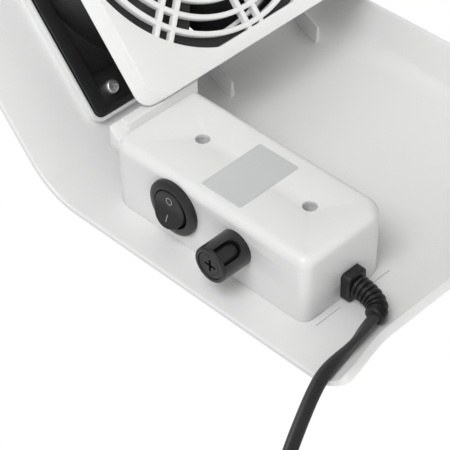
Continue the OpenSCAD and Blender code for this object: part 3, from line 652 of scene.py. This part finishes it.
def arch_skin():
    """The sweep's quads, and strips between the two chains that close both wing ends."""
    loops = arch_points()
    points, faces = skin(loops, False, False)
    n, k = loops.shape[:2]
    for base in (0, (n - 1) * k):
        faces += [[base + i, base + i + 1, base + k - 2 - i, base + k - 1 - i]
                  for i in range(k // 2 - 1)]
    return points, faces


def bend_rib(y):
    """A low web from the bend to the fan's side: its free edge stands 8 mm square to the wing,
    then its top runs back to the fan. It is 2.8 mm thick at the foot and 1 mm at its top."""
    reach, tall = 8.5, 8.0
    foot = np.array([BEND_X + reach * COS, reach * SIN])
    head = foot + tall * np.array([-SIN, COS])
    a = np.radians(np.linspace(-88, math.degrees(ANGLE) - 92, 8))
    arc = np.stack([BEND_X - BEND_RUN + (BEND_R + 1.2) * np.cos(a),
                    BEND_R + (BEND_R + 1.2) * np.sin(a)], -1)
    outline = np.concatenate([[(SEAT, head[1] - 6.0), (SEAT, -1.2)], arc, [foot, head]])
    depth = np.clip(((outline - foot) @ (-SIN, COS)) / tall, 0, 1)
    half = 1.4 - 0.9 * depth
    a = np.stack([outline[:, 0], y - half, outline[:, 1]], -1)
    b = np.stack([outline[:, 0], y + half, outline[:, 1]], -1)
    return skin([a, b])


arch = new_piece("arch", *arch_skin())
carved(arch, cutter(rod(INTAKE_R, -12, 6, 128), AT_FAN))
# Two narrow slits in the wing below the box.
carved(arch, *[cutter(soft_block(BOX_END + 2.6, BOX_END + 3.2, y, y + w, -0.5, 1, [0.2] * 4), WING)
               for y, w in ((18, 12.5), (47.5, 9))])
settle(arch, *SHELL, ["arch_shell"], angle=28)
ribs = [bend_rib(y) for y in (89, 139)] + [mirrored(bend_rib(y)) for y in (35, 85, 135)]
for i, rib in enumerate(ribs):
    rib = softened(new_piece(f"bend_rib_{i + 1}", *rib, TOP), 0.3)
    settle(rib, *SHELL)


def frame_ring(outer, inner, z0, z1, r_out, r_in, soft, more_in=0.0):
    """A square ring: out over a rounded rim and back down inside. On the side of the arch's
    back edge its outside stands further out by SEAT_MORE, and its inside by `more_in`."""
    def rim(half, more, r, inset, z):
        """A square outline at one height, with `more` added on one side."""
        return at_height(box_outline(-half, half, -half - more, half, [r] * 4, inset), z)

    roll = [(soft * (1 - math.cos(a)), z1 - soft * (1 - math.sin(a)))
            for a in np.linspace(0, QUARTER, 4)]
    loops = [rim(outer, SEAT_MORE, r_out, 0, z0)]
    loops += [rim(outer, SEAT_MORE, r_out, inset, z) for inset, z in roll]
    loops += [rim(inner, more_in, r_in, -inset, z) for inset, z in roll[::-1]]
    loops.append(rim(inner, more_in, r_in, 0, z0))
    points, faces = skin(loops, False, False)
    n, k = len(loops), len(loops[0])
    faces += [[(n - 1) * k + i, (n - 1) * k + (i + 1) % k, (i + 1) % k, i] for i in range(k)]
    return points, faces


# The lip round the fan's seat, the square surround on top, and the posts for the box's screws.
lip = new_piece("fan_lip", *frame_ring(SEAT + 1.6, SEAT, -0.6, 3.4, 4.8, 3.2, 0.5, SEAT_MORE),
                AT_FAN)
settle(lip, *SHELL)
surround = new_piece("top_surround", *soft_block(-GUARD, GUARD, -GUARD, GUARD, -5, -2, [12] * 4,
                                                 0, 1.4), AT_FAN)
carved(surround, cutter(rod(INTAKE_R, -12, 6, 128), AT_FAN),
       cutter(rod(57.3, -12, -3.5, 128), AT_FAN))
settle(surround, *SHELL)
for i, x in enumerate(SCREWS_X):
    post = new_piece(f"screw_post_{i + 1}", *turned(
        [(0, 2), (1.5, 2), (1.5, 7.8), (3.6, 7.8), (4, 7.4), (4, -0.6), (0, -0.6)]),
        shifted(WING, x, SCREW_Y))
    settle(post, *SHELL)


# ------------------------------------------------------------------ mains box

def cover_skin():
    """The cover as one closed skin: from the inside of its top, down the inner walls, out
    under the rim, up the outer walls and over the rounded top edge."""
    x0, x1, y0, y1 = BOX_START - COLLAR, BOX_END, BOX_INSET, BOX_INSET + BOX_W
    radii = [9.0, 4.5, 8.5, 4.0]
    t, soft = 2.2, 4.2
    inner = [max(r - t, 1) for r in radii]
    loops = [at_height(box_outline(x0 + COLLAR + 0.6, x1 - t, y0 + t, y1 - t, inner), z)
             for z in (BOX_H - t, 0.15)]
    loops += [at_height(box_outline(x0, x1, y0, y1, radii), z) for z in (0.15, 10, 20)]
    for a in np.radians(np.linspace(0, 90, 12)):
        loops.append(at_height(box_outline(x0, x1, y0, y1, radii, soft * (1 - math.cos(a))),
                               BOX_H - soft * (1 - math.sin(a))))
    return skin(loops)


cover = new_piece("mains_box_cover", *cover_skin(), WING)
# Holes for the screws, the switch, the fuse holder, the relief and the fan's leads.
carved(cover, *[cutter(rod(2.8, BOX_H - 4, BOX_H + 2), shifted(WING, x, SCREW_Y))
                for x in SCREWS_X],
       cutter(rod(9.95, -4, 3), AT_SWITCH), cutter(rod(6.15, -4, 3), AT_FUSE),
       cutter(rod(4.35, -4, 3), box_end(RELIEF_Y, RELIEF_V)),
       cutter(soft_block(BOX_START - COLLAR - 1, BOX_START + 2, 52, 55, 7.5, 16, [0.6] * 4), WING))
softened(cover, 0.35, 2, 50)
settle(cover, *SHELL, ["box_cover"], angle=30)

for i, x in enumerate(SCREWS_X):
    # A tube from the top of the cover down to the seat of its screw.
    tube = new_piece(f"screw_tube_{i + 1}", *turned_ring(
        [(1.7, 8.1), (4.6, 8.1), (4.6, BOX_H - 2.3), (2.85, BOX_H - 2.3), (2.8, SCREW_SEAT),
         (1.7, SCREW_SEAT)], 64), shifted(WING, x, SCREW_Y))
    settle(tube, *SHELL)

# The collar that stands on the box's upper end against the fan, and the ramp at its near end.
collar_top = (BEND_X - GUARD) * SIN + FAN_DEPTH * COS - 0.3
collar = new_piece("box_collar", *soft_block(BOX_START - COLLAR, BOX_START, BOX_INSET + 6.6,
                                             BOX_INSET + BOX_W, BOX_H - 6, collar_top,
                                             [0.5, 0.5, 1.6, 1.6], 0.5), WING)
settle(collar, *SHELL)
ramp_side = np.array([(BOX_START - COLLAR, BOX_H - 5), (BOX_START + 0.8, BOX_H - 5),
                      (BOX_START + 0.8, BOX_H - 0.3), (BOX_START - COLLAR, collar_top)])
ramp = new_piece("box_ramp", *skin([np.insert(ramp_side, 1, BOX_INSET + y, axis=1)
                                    for y in (1.0, 7.2)]), WING)
softened(ramp, 0.7, 3)
settle(ramp, *SHELL)

label = new_piece("blank_label_foil", *soft_block(61, 80.4, 20.2, 50.3, BOX_H, BOX_H + 0.25,
                                                  [0.8] * 4, 0.08, 0), WING)
settle(label, "arch", "label_foil", label_foil, ["blank_label"])


# ------------------------------------------------------------------ switch

bezel = [(8.05, -6.4), (8.05, 2.3), (8.25, 2.5), (9.2, 2.5), (10.8, 2.1), (11.35, 1.7),
         (11.5, 1.1), (11.5, 0.0), (9.8, 0.0), (9.8, -18), (8.9, -18), (7.2, -17), (7.2, -6.4)]
switch = new_piece("switch_housing", *turned_ring(bezel), AT_SWITCH)
settle(switch, "arch", "switch_plastic", pa_black, ["switch_body"])
switch_floor = new_piece("switch_floor", *rod(8.6, -17.5, -6.4, 48), AT_SWITCH)
settle(switch_floor, "arch", "switch_plastic", pa_black)
TILT = math.radians(12)
ROCKER_R = 7.4
ROCKER_RISE = 2.6
at_rocker = shifted(AT_SWITCH, 0, 0, 0.5) @ tipped(-TILT)


def face_height(y):
    """The height of the rocker's face: two slopes that a square root joins in a soft valley."""
    return ROCKER_RISE + math.tan(TILT) * (np.sqrt(y * y + 1.2) - 0.6)


def rocker_skin():
    """A round key whose face follows face_height and turns down at the rim."""
    steps, rings = 96, 14
    a = np.linspace(0, 2 * np.pi, steps, endpoint=False)
    share = np.concatenate([[0.001], np.linspace(0.1, 0.94, rings), [0.975, 0.993, 1.0]])
    drop = np.concatenate([np.zeros(rings + 1), [0.06, 0.2, 0.5]])
    loops = []
    for f, e in zip(share, drop):
        x, y = ROCKER_R * f * np.cos(a), ROCKER_R * f * np.sin(a)
        loops.append(np.stack([x, y, face_height(y) - e], -1))
    base = loops[-1].copy()
    base[:, 2] = -2.5
    return skin(loops + [base])


rocker = new_piece("rocker_key", *rocker_skin(), at_rocker)
pivot_pin = new_piece("rocker_pins", *rod(0.9, -9.2, 9.2, 24),
                      at_rocker @ place([(0, 1, 0), (0, 0, 1), (1, 0, 0)], (0, 0, 0)))
settle(rocker, "rocker", "switch_plastic", pa_black, ["switch_rocker"])
settle(pivot_pin, "rocker", "switch_plastic", pa_black)


def on_face(y, side):
    """On the sloping face of the rocker at distance y from its valley."""
    return at_rocker @ tipped(side * math.radians(11.6), (0, y, face_height(y)))


circle_mark = new_piece("mark_off", *turned_ring([(1.28, -0.1), (1.5, -0.1), (1.5, 0.04),
                                                  (1.28, 0.04)], 48), on_face(3.6, 1))
bar_mark = new_piece("mark_on", *soft_block(-0.12, 0.12, -1.4, 1.4, -0.1, 0.04, [0.1] * 4),
                     on_face(-3.6, -1))
for mark in (circle_mark, bar_mark):
    settle(mark, "rocker", "switch_plastic", white_ink)


# ------------------------------------------------------------------ fuse holder

holder = new_piece("fuse_housing", *turned_ring(
    [(5.6, 3.3), (5.6, 13.2), (5.7, 13.4), (6.3, 13.5), (6.9, 13.4), (7.2, 13.0), (7.25, 12.4),
     (7.25, 0), (6, 0), (6, -21.6), (5.6, -22), (3.3, -22), (3.3, 3.3)]), AT_FUSE)


def notch_outline():
    """A slot with a round inner end, seen square to the holder's side."""
    a = np.linspace(np.pi, 2 * np.pi, 17)
    arc = np.stack([3.5 * np.cos(a), 6.3 + 3.5 * np.sin(a)], -1)
    return np.concatenate([arc, [(3.5, 12.3), (-3.5, 12.3)]])


notch = skin([np.insert(notch_outline(), 1, y, axis=1) for y in (3.9, 9.0)])
carved(holder, cutter(spun(notch, -36), AT_FUSE))
softened(holder, 0.18, 2, 40)
settle(holder, "arch", "switch_plastic", pa_fuse, ["fuse_holder"])
cap = new_piece("fuse_knob", *turned(
    [(0, 3.5), (5.3, 3.5), (5.45, 3.7), (5.45, 13.0), (5.38, 13.12), (5.2, 13.15), (4.2, 13.15),
     (4.15, 13.05), (4.0, 13.05), (3.95, 13.15), (0, 13.15)], 96), AT_FUSE)
carved(cap, *[cutter(soft_block(-w, w, -h, h, 11.2, 14, [0.3] * 4), AT_FUSE)
              for w, h in ((2.7, 0.5), (0.5, 2.7))], cutter(rod(2.7, 3, 7.1), AT_FUSE))
settle(cap, "fuse_knob", "switch_plastic", pa_fuse, ["fuse_cap"])
nut = softened_copy("fuse_locknut", "fuse_nut", 0.3)
settle(nut, "arch", "black_plastic", pbt_black, ["fuse_nut"])
fuse_tube = new_piece("fuse_tube", *turned_ring(
    [(1.9, -8.5), (2.35, -8.5), (2.35, 2.5), (1.9, 2.5)], 48), AT_FUSE)
settle(fuse_tube, "fuse", "fuse_glass", glass_clear, ["glass_fuse"])
for i, z in enumerate((-13, 2)):
    end = new_piece(f"fuse_end_{i + 1}", *turned(
        [(0, z), (2.45, z), (2.6, z + 0.2), (2.6, z + 4.8), (2.45, z + 5), (0, z + 5)], 48),
        AT_FUSE)
    settle(end, "fuse", "steel", zinc)
wire = new_piece("fuse_wire", *rod(0.15, -8.2, 2.2, 12), AT_FUSE)
settle(wire, "fuse", "brass", tin_brass)


# ------------------------------------------------------------------ exhaust guard

def guard_plate():
    """One skin from the flange's foot to the panel: the outline draws in from the flange to
    the panel while the height goes up on a smooth step, then rolls over on a small round."""
    low = box_outline(-GUARD, GUARD, -61.8, 61.8, [6.5] * 4)
    high = box_outline(*PANEL)
    loops = [at_height(low, 0), at_height(low, 0.7)]
    for f in np.linspace(0, 1, 8)[1:]:
        loops.append(at_height(low + (high - low) * f, 0.9 + 1.9 * smoothstep(f) ** 0.8))
    for a in np.radians([20, 45, 70, 90]):
        loops.append(at_height(box_outline(*PANEL, 0.5 * (1 - math.cos(a))),
                               2.8 + 0.4 * math.sin(a)))
    return skin(loops)


guard = new_piece("guard_plate", *guard_plate(), AT_GUARD)
# The outlet is round, cut flat where it would run past the frame's sides.
a = np.linspace(0, 2 * np.pi, 160, endpoint=False)
opening = np.stack([np.clip(57 * np.cos(a), -53.3, 53.3), 57 * np.sin(a)], -1)
carved(guard, cutter(prism(opening, -2, 6), AT_GUARD))
softened(guard, 0.45, 2, 50)
settle(guard, *GRILLE, ["exhaust_guard"])

for i in range(6):
    # A ring of bar 2.1 mm wide and 3.2 mm high, round on its outer face.
    r = 51.65 - 6.45 * i
    section = round_outline([(r - 1.05, 0), (r + 1.05, 0), (r + 1.05, 3.2), (r - 1.05, 3.2)],
                            [0.3, 0.3, 0.6, 0.6], 4)
    ring = new_piece(f"guard_ring_{i + 1}", *turned_ring(section, 160), AT_GUARD)
    settle(ring, *GRILLE)
hub = new_piece("guard_hub", *turned(
    [(0, 0), (14, 0), (14, 2.4), (13.5, 3.0), (12.8, 3.2), (0, 3.2)], 96), AT_GUARD)
settle(hub, *GRILLE)
for i in range(16):
    # Eight pairs of spokes, whose middles stand 3.1 mm either side of the ray between them.
    angle, s = i // 2 * 45, (-3.1, 3.1)[i % 2]
    reach = 57.6 if angle % 180 else 53.8
    bar = soft_block(12.5, reach, s - 1.05, s + 1.05, 0.2, 3.1, [0.1] * 4, 0.6)
    bar = new_piece(f"guard_spoke_{i + 1}", *spun(bar, angle), AT_GUARD)
    settle(bar, *GRILLE)
for i, (x, y) in enumerate(FAN_HOLES):
    peg = new_piece(f"guard_peg_{i + 1}", *turned(
        [(0, -4), (1.1, -4), (1.4, -3.6), (1.4, 0.5), (0, 0.5)], 32), shifted(AT_GUARD, x, y))
    settle(peg, *GRILLE)


# ------------------------------------------------------------------ fan

fan_body = softened_copy("fan_housing", "fan_frame", 0.4)
settle(fan_body, "arch", "black_plastic", pbt_black, ["fan_frame"])
# The seat flange's rim, square to its small corners.
rim = new_piece("fan_rim", *frame_ring(56.06, 53.3, 0.1, 4.1, 2.8, 1.5, 0.35), AT_FAN)
settle(rim, "arch", "black_plastic", pbt_black)


def blade_skin(turn):
    """A twisted blade: at each radius a cambered section, thickest at a third of its chord,
    turned from 42 degrees at the hub to 26 at the tip and swept forward by 14 degrees."""
    radii = np.linspace(20.5, 50.9, 14)
    t = np.concatenate([np.linspace(0, 1, 13), np.linspace(1, 0, 13)[1:-1]])
    upper = np.concatenate([np.ones(13), -np.ones(11)])
    thick = 1.5 * np.sqrt(np.clip(t, 0, 1)) * (1 - t) * 1.3 + 0.25
    loops = []
    for r in radii:
        f = (r - 20.5) / 30.4
        chord = 24 + 8 * f
        pitch = math.radians(42 - 16 * f)
        along = (t - 0.5) * chord
        across = 2.2 * (1 - (2 * t - 1) ** 2) + upper * thick * (1 - 0.45 * f)
        arc = (along * math.cos(pitch) - across * math.sin(pitch)) / r
        arc += math.radians(14) * f ** 1.5
        z = 17 + along * math.sin(pitch) + across * math.cos(pitch) - 1.5
        a = arc + math.radians(turn)
        loops.append(np.stack([r * np.cos(a), r * np.sin(a), np.clip(z, 6, 28)], -1))
    return skin(loops)


rotor = new_piece("rotor_hub", *turned_ring(
    [(1.5, 5), (20.6, 5), (21.6, 5.4), (22, 6.4), (22, 27), (20, 27), (20, 7), (4, 7),
     (3.2, 8.5), (1.5, 8.5)]), AT_FAN)
settle(rotor, "rotor", "rotor_plastic", pbt_rotor, ["fan_rotor"])
for i in range(7):
    blade = new_piece(f"rotor_blade_{i + 1}", *blade_skin(i * 360 / 7), AT_FAN)
    settle(blade, "rotor", "rotor_plastic", pbt_rotor)


def pan_head(name, where, r, reach, nodes):
    """A screw with a pan head: a quarter of a flat oval, with a cross recess."""
    h = 2.2
    q = np.radians(np.linspace(0, 90, 8))
    profile = [(0, -reach), (1.35, -reach), (1.4, -reach + 0.3), (1.4, 0.01), (r, 0.01)]
    profile += [(r * (0.72 + 0.28 * math.cos(t)), 0.25 * h + 0.75 * h * math.sin(t)) for t in q]
    profile.append((0, h))
    head = new_piece(name, *turned(profile, 48), where)
    for turn in (0, 90):
        cross = soft_block(-r * 0.5, r * 0.5, -0.3, 0.3, h * 0.62, h + 1, [0.2] * 4)
        carved(head, cutter(spun(cross, turn), where))
    settle(head, "arch", "steel", zinc, nodes)


for i, (x, y) in enumerate(FAN_HOLES):
    pan_head(f"fan_screw_{i + 1}", shifted(AT_FAN, x, y, 3.6), 2.8, 7.0,
             ["fan_screws"] if i == 0 else ())
for i, x in enumerate(SCREWS_X):
    pan_head(f"box_screw_{i + 1}", shifted(WING, x, SCREW_Y, SCREW_SEAT), 2.6, 8.6,
             ["box_screws"] if i == 0 else ())

shaft = new_piece("shaft", *turned(
    [(0, 5.1), (1.3, 5.1), (1.5, 5.4), (1.5, 34.8), (1.2, 35.2), (0, 35.2)], 48), AT_FAN)
settle(shaft, "rotor", "steel", ground_steel, ["rotor_shaft"])
for name, node, z in (("bearing_inner", "inner_bearing", 12),
                      ("bearing_outer", "outer_bearing", 28.8)):
    # Half of the section, from the shaft's face out; the other face mirrors it, 4 mm away.
    face = [(1.56, 0), (2.2, 0), (2.3, 0.3), (3.2, 0.3), (3.3, 0), (3.9, 0), (4, 0.2)]
    race = [(r, z + n) for r, n in face] + [(r, z + 4 - n) for r, n in face[::-1]]
    race = new_piece(name, *turned_ring(race, 64), AT_FAN)
    settle(race, "arch", "steel", ground_steel, [node])
for name, node, body, slot, material, soft in (
        ("ring_magnet", "rotor_magnet", "rotor", "magnet", ferrite, 0.3),
        ("circlip", "shaft_clip", "rotor", "steel", ground_steel, 0.08),
        ("stator", "motor_stator", "arch", "copper_winding", copper, 0.4),
        ("drive_board", "motor_board", "arch", "board", solder_mask, 0.1),
        ("top_grille", "intake_grille", *GRILLE, 0.35),
        ("supply_board", "circuit_board", "arch", "board", solder_mask, 0.12),
        ("supply_transformer", "transformer", "arch", "transformer_tape", tape_yellow, 0.6),
        ("mains_capacitor", "bulk_capacitor", "arch", "capacitor_sleeve", sleeve_blue, 0.6),
        ("smoothing_capacitor", "output_capacitor", "arch", "capacitor_sleeve", sleeve_blue, 0.5),
        ("cooling_fins", "heat_sink", "arch", "aluminium", raw_aluminium, 0.12),
        ("transistor", "power_transistor", "arch", "black_plastic", epoxy_black, 0.2),
        ("screw_terminals", "terminal_block", "arch", "green_plastic", pa_green, 0.3),
        ("switch_tabs", "switch_terminals", "arch", "brass", tin_brass, 0.12),
        ("fuse_clip", "fuse_contact", "arch", "brass", tin_brass, 0.12)):
    settle(softened_copy(name, node, soft), body, slot, material, [node])


def lead(name, points, nodes=()):
    """An insulated wire: a round section along a smooth path."""
    path = smooth_path(points, 8)
    a = np.linspace(0, 2 * np.pi, 12, endpoint=False)
    shape = np.repeat(0.8 * np.stack([np.cos(a), np.sin(a)], -1)[None], len(path), 0)
    side = np.cross(directions(path), (0.05, 0.02, 1.0))
    wire = new_piece(name, *swept(path, side, shape))
    settle(wire, "arch", "lead_insulation", pvc_relief, nodes)


LEADS = np.array([(83.8, 26.5, 79.5), (76.2, 26.5, 86), (68, 26.4, 88.5), (59, 25.5, 86.5),
                  (51.5, 23.4, 81), (46.2, 20.6, 78.5)])
lead("fan_lead_1", LEADS, ["fan_leads"])
lead("fan_lead_2", LEADS - (1, 0, 1.9))


# ------------------------------------------------------------------ strain relief and plug

relief_flange = new_piece("relief_flange", *soft_block(
    -4.7, 4.7, -5.75, 5.75, 0.0, 4.0, [1.7] * 4, 0.8), box_end(RELIEF_Y, RELIEF_V))
settle(relief_flange, *RUBBER, ["strain_relief"])
BOOT = np.array([(143.4, 42, 14.6), (149.9, 42, 7.0), (154.1, 42.5, 4.6), (155.2, 48.4, 4.2)])


def boot_skin():
    """A tapering boot on a cubic curve with four control points. Seven ribs stand 1 mm over
    its grooves, in a wave that a steep tanh makes nearly square, and a plain collar ends it."""
    t = np.linspace(0, 1, 60)[:, None]
    curve = ((1 - t) ** 3 * BOOT[0] + 3 * t * (1 - t) ** 2 * BOOT[1]
             + 3 * t ** 2 * (1 - t) * BOOT[2] + t ** 3 * BOOT[3])
    path = resampled(curve, 0.13)
    f = np.linspace(0, 1, len(path))
    wave = np.cos(2 * np.pi * 7 * np.clip((f - 0.08) / 0.76, 0, 1))
    groove = 0.5 - 0.5 * np.tanh(3.5 * (wave + 0.25))
    r = 4.5 - 0.65 * f - 1.0 * groove * (f > 0.08) * (f < 0.84)
    end = np.linspace(0, 1, 9)
    r[-9:] -= 1.3 * (1 - np.sqrt(np.clip(1 - end ** 2, 0, 1)))
    a = np.linspace(0, 2 * np.pi, 40, endpoint=False)
    shape = r[:, None, None] * np.stack([np.cos(a), np.sin(a)], -1)[None]
    return swept(path, np.cross(directions(path), (0, 0, 1.0)), shape)


boot = new_piece("relief_boot", *boot_skin())
settle(boot, *RUBBER, angle=60)


PLUG_X, PLUG_BACK, PLUG_FRONT, PLUG_Z = 256, 74, 41, 6.8


def plug_skin():
    """A flat plug: rounded rectangles that widen from the cord to the pins, their half width
    and half height following smooth steps along its length."""
    loops = []
    y = PLUG_BACK - np.concatenate([[0, 0.3], np.linspace(1, 30.5, 20), [32.2, 33]])
    for at in y:
        f = (PLUG_BACK - at) / (PLUG_BACK - PLUG_FRONT)
        w = 4.6 + 12.7 * smoothstep(f / 0.5)
        h = 4.4 + 2.3 * smoothstep(f / 0.4)
        shrink = max(0.0, 1.2 - min(at - PLUG_FRONT, PLUG_BACK - at))
        o = box_outline(-w, w, -h, h, [min(w, h) * 0.8] * 4, shrink, 6)
        loops.append(np.insert(o, 1, at, axis=1) + (PLUG_X, 0, PLUG_Z))
    return skin(loops)


plug = new_piece("plug_grip", *plug_skin())
settle(plug, *RUBBER, ["plug_body"])
neck = new_piece("plug_neck", *turned(
    [(0, -0.5), (4.6, -0.5), (4.6, 1.2), (3.9, 1.6), (3.9, 2.4), (4.4, 2.8), (4.3, 4.0),
     (3.7, 4.4), (3.7, 5.2), (4.0, 5.6), (3.6, 7.6), (3.1, 8), (0, 8)], 40),
    place([(1, 0, 0), (0, 0, -1), (0, 1, 0)], (PLUG_X, PLUG_BACK, PLUG_Z)))
settle(neck, *RUBBER)
for i, x in enumerate((-9.3, 9.3)):
    pin = new_piece(f"plug_pin_{i + 1}", *turned(
        [(0, 0), (2, 0), (2, 17), (1.7, 18.2), (1.0, 18.8), (0, 19)], 32),
        place([(1, 0, 0), (0, 0, 1), (0, -1, 0)], (PLUG_X + x, PLUG_FRONT, PLUG_Z)))
    settle(pin, "arch", "brass", tin_brass, ["plug_pins"] if i == 0 else ())


# ------------------------------------------------------------------ floor and light

def one_way(material):
    """Makes a floor that is only there from above."""
    t = material.node_tree
    shader = t.nodes["Principled BSDF"]
    out = t.nodes["Material Output"]
    side = add(t, "ShaderNodeNewGeometry").outputs["Backfacing"]
    clear = add(t, "ShaderNodeBsdfTransparent")
    both = add(t, "ShaderNodeMixShader", links={"Fac": side})
    t.links.new(shader.outputs[0], both.inputs[1])
    t.links.new(clear.outputs[0], both.inputs[2])
    t.links.new(both.outputs[0], out.inputs["Surface"])


one_way(floor_paint)
floor = new_piece("floor", np.array([(-1, -1, 0), (1, -1, 0), (1, 1, 0), (-1, 1, 0)]) * 1500,
                  [(0, 1, 2, 3)])
floor.data.materials.append(floor_paint)
floor.visible_shadow = False

# A white cyclorama: the camera sees it white, and it lights the object at about half that.
world = bpy.data.worlds.new("studio")
bpy.context.scene.world = world
world.use_nodes = True
sky = world.node_tree
seen = add(sky, "ShaderNodeLightPath").outputs["Is Camera Ray"]
level = add(sky, "ShaderNodeMapRange", {"To Min": 0.52, "To Max": 1.0}, {"Value": seen})
sky.nodes["Background"].inputs["Color"].default_value = (1, 1, 1, 1)
sky.links.new(level.outputs["Result"], sky.nodes["Background"].inputs["Strength"])
bpy.context.scene.view_settings.view_transform = "Standard"


def lamp(name, at, aim, size, watts):
    """A square soft light at a place, aimed at a point; metres and watts."""
    data = bpy.data.lights.new(name, "AREA")
    data.size = size
    data.energy = watts
    piece = bpy.data.objects.new(name, data)
    bpy.context.scene.collection.objects.link(piece)
    piece.location = at
    piece.rotation_euler = (Vector(aim) - Vector(at)).to_track_quat("-Z", "Y").to_euler()


lamp("key_below", (-0.37, 0.50, -0.54), (0.08, 0, 0.06), 0.45, 4.8)
lamp("fill_below", (0.85, 0.35, -0.6), (0.08, 0, 0.06), 0.8, 4.2)
lamp("key_above", (-0.6, -0.7, 1.1), (0, 0, 0.05), 0.6, 9)
lamp("fill_above", (0.9, 0.5, 0.8), (0, 0, 0.05), 1.0, 2)
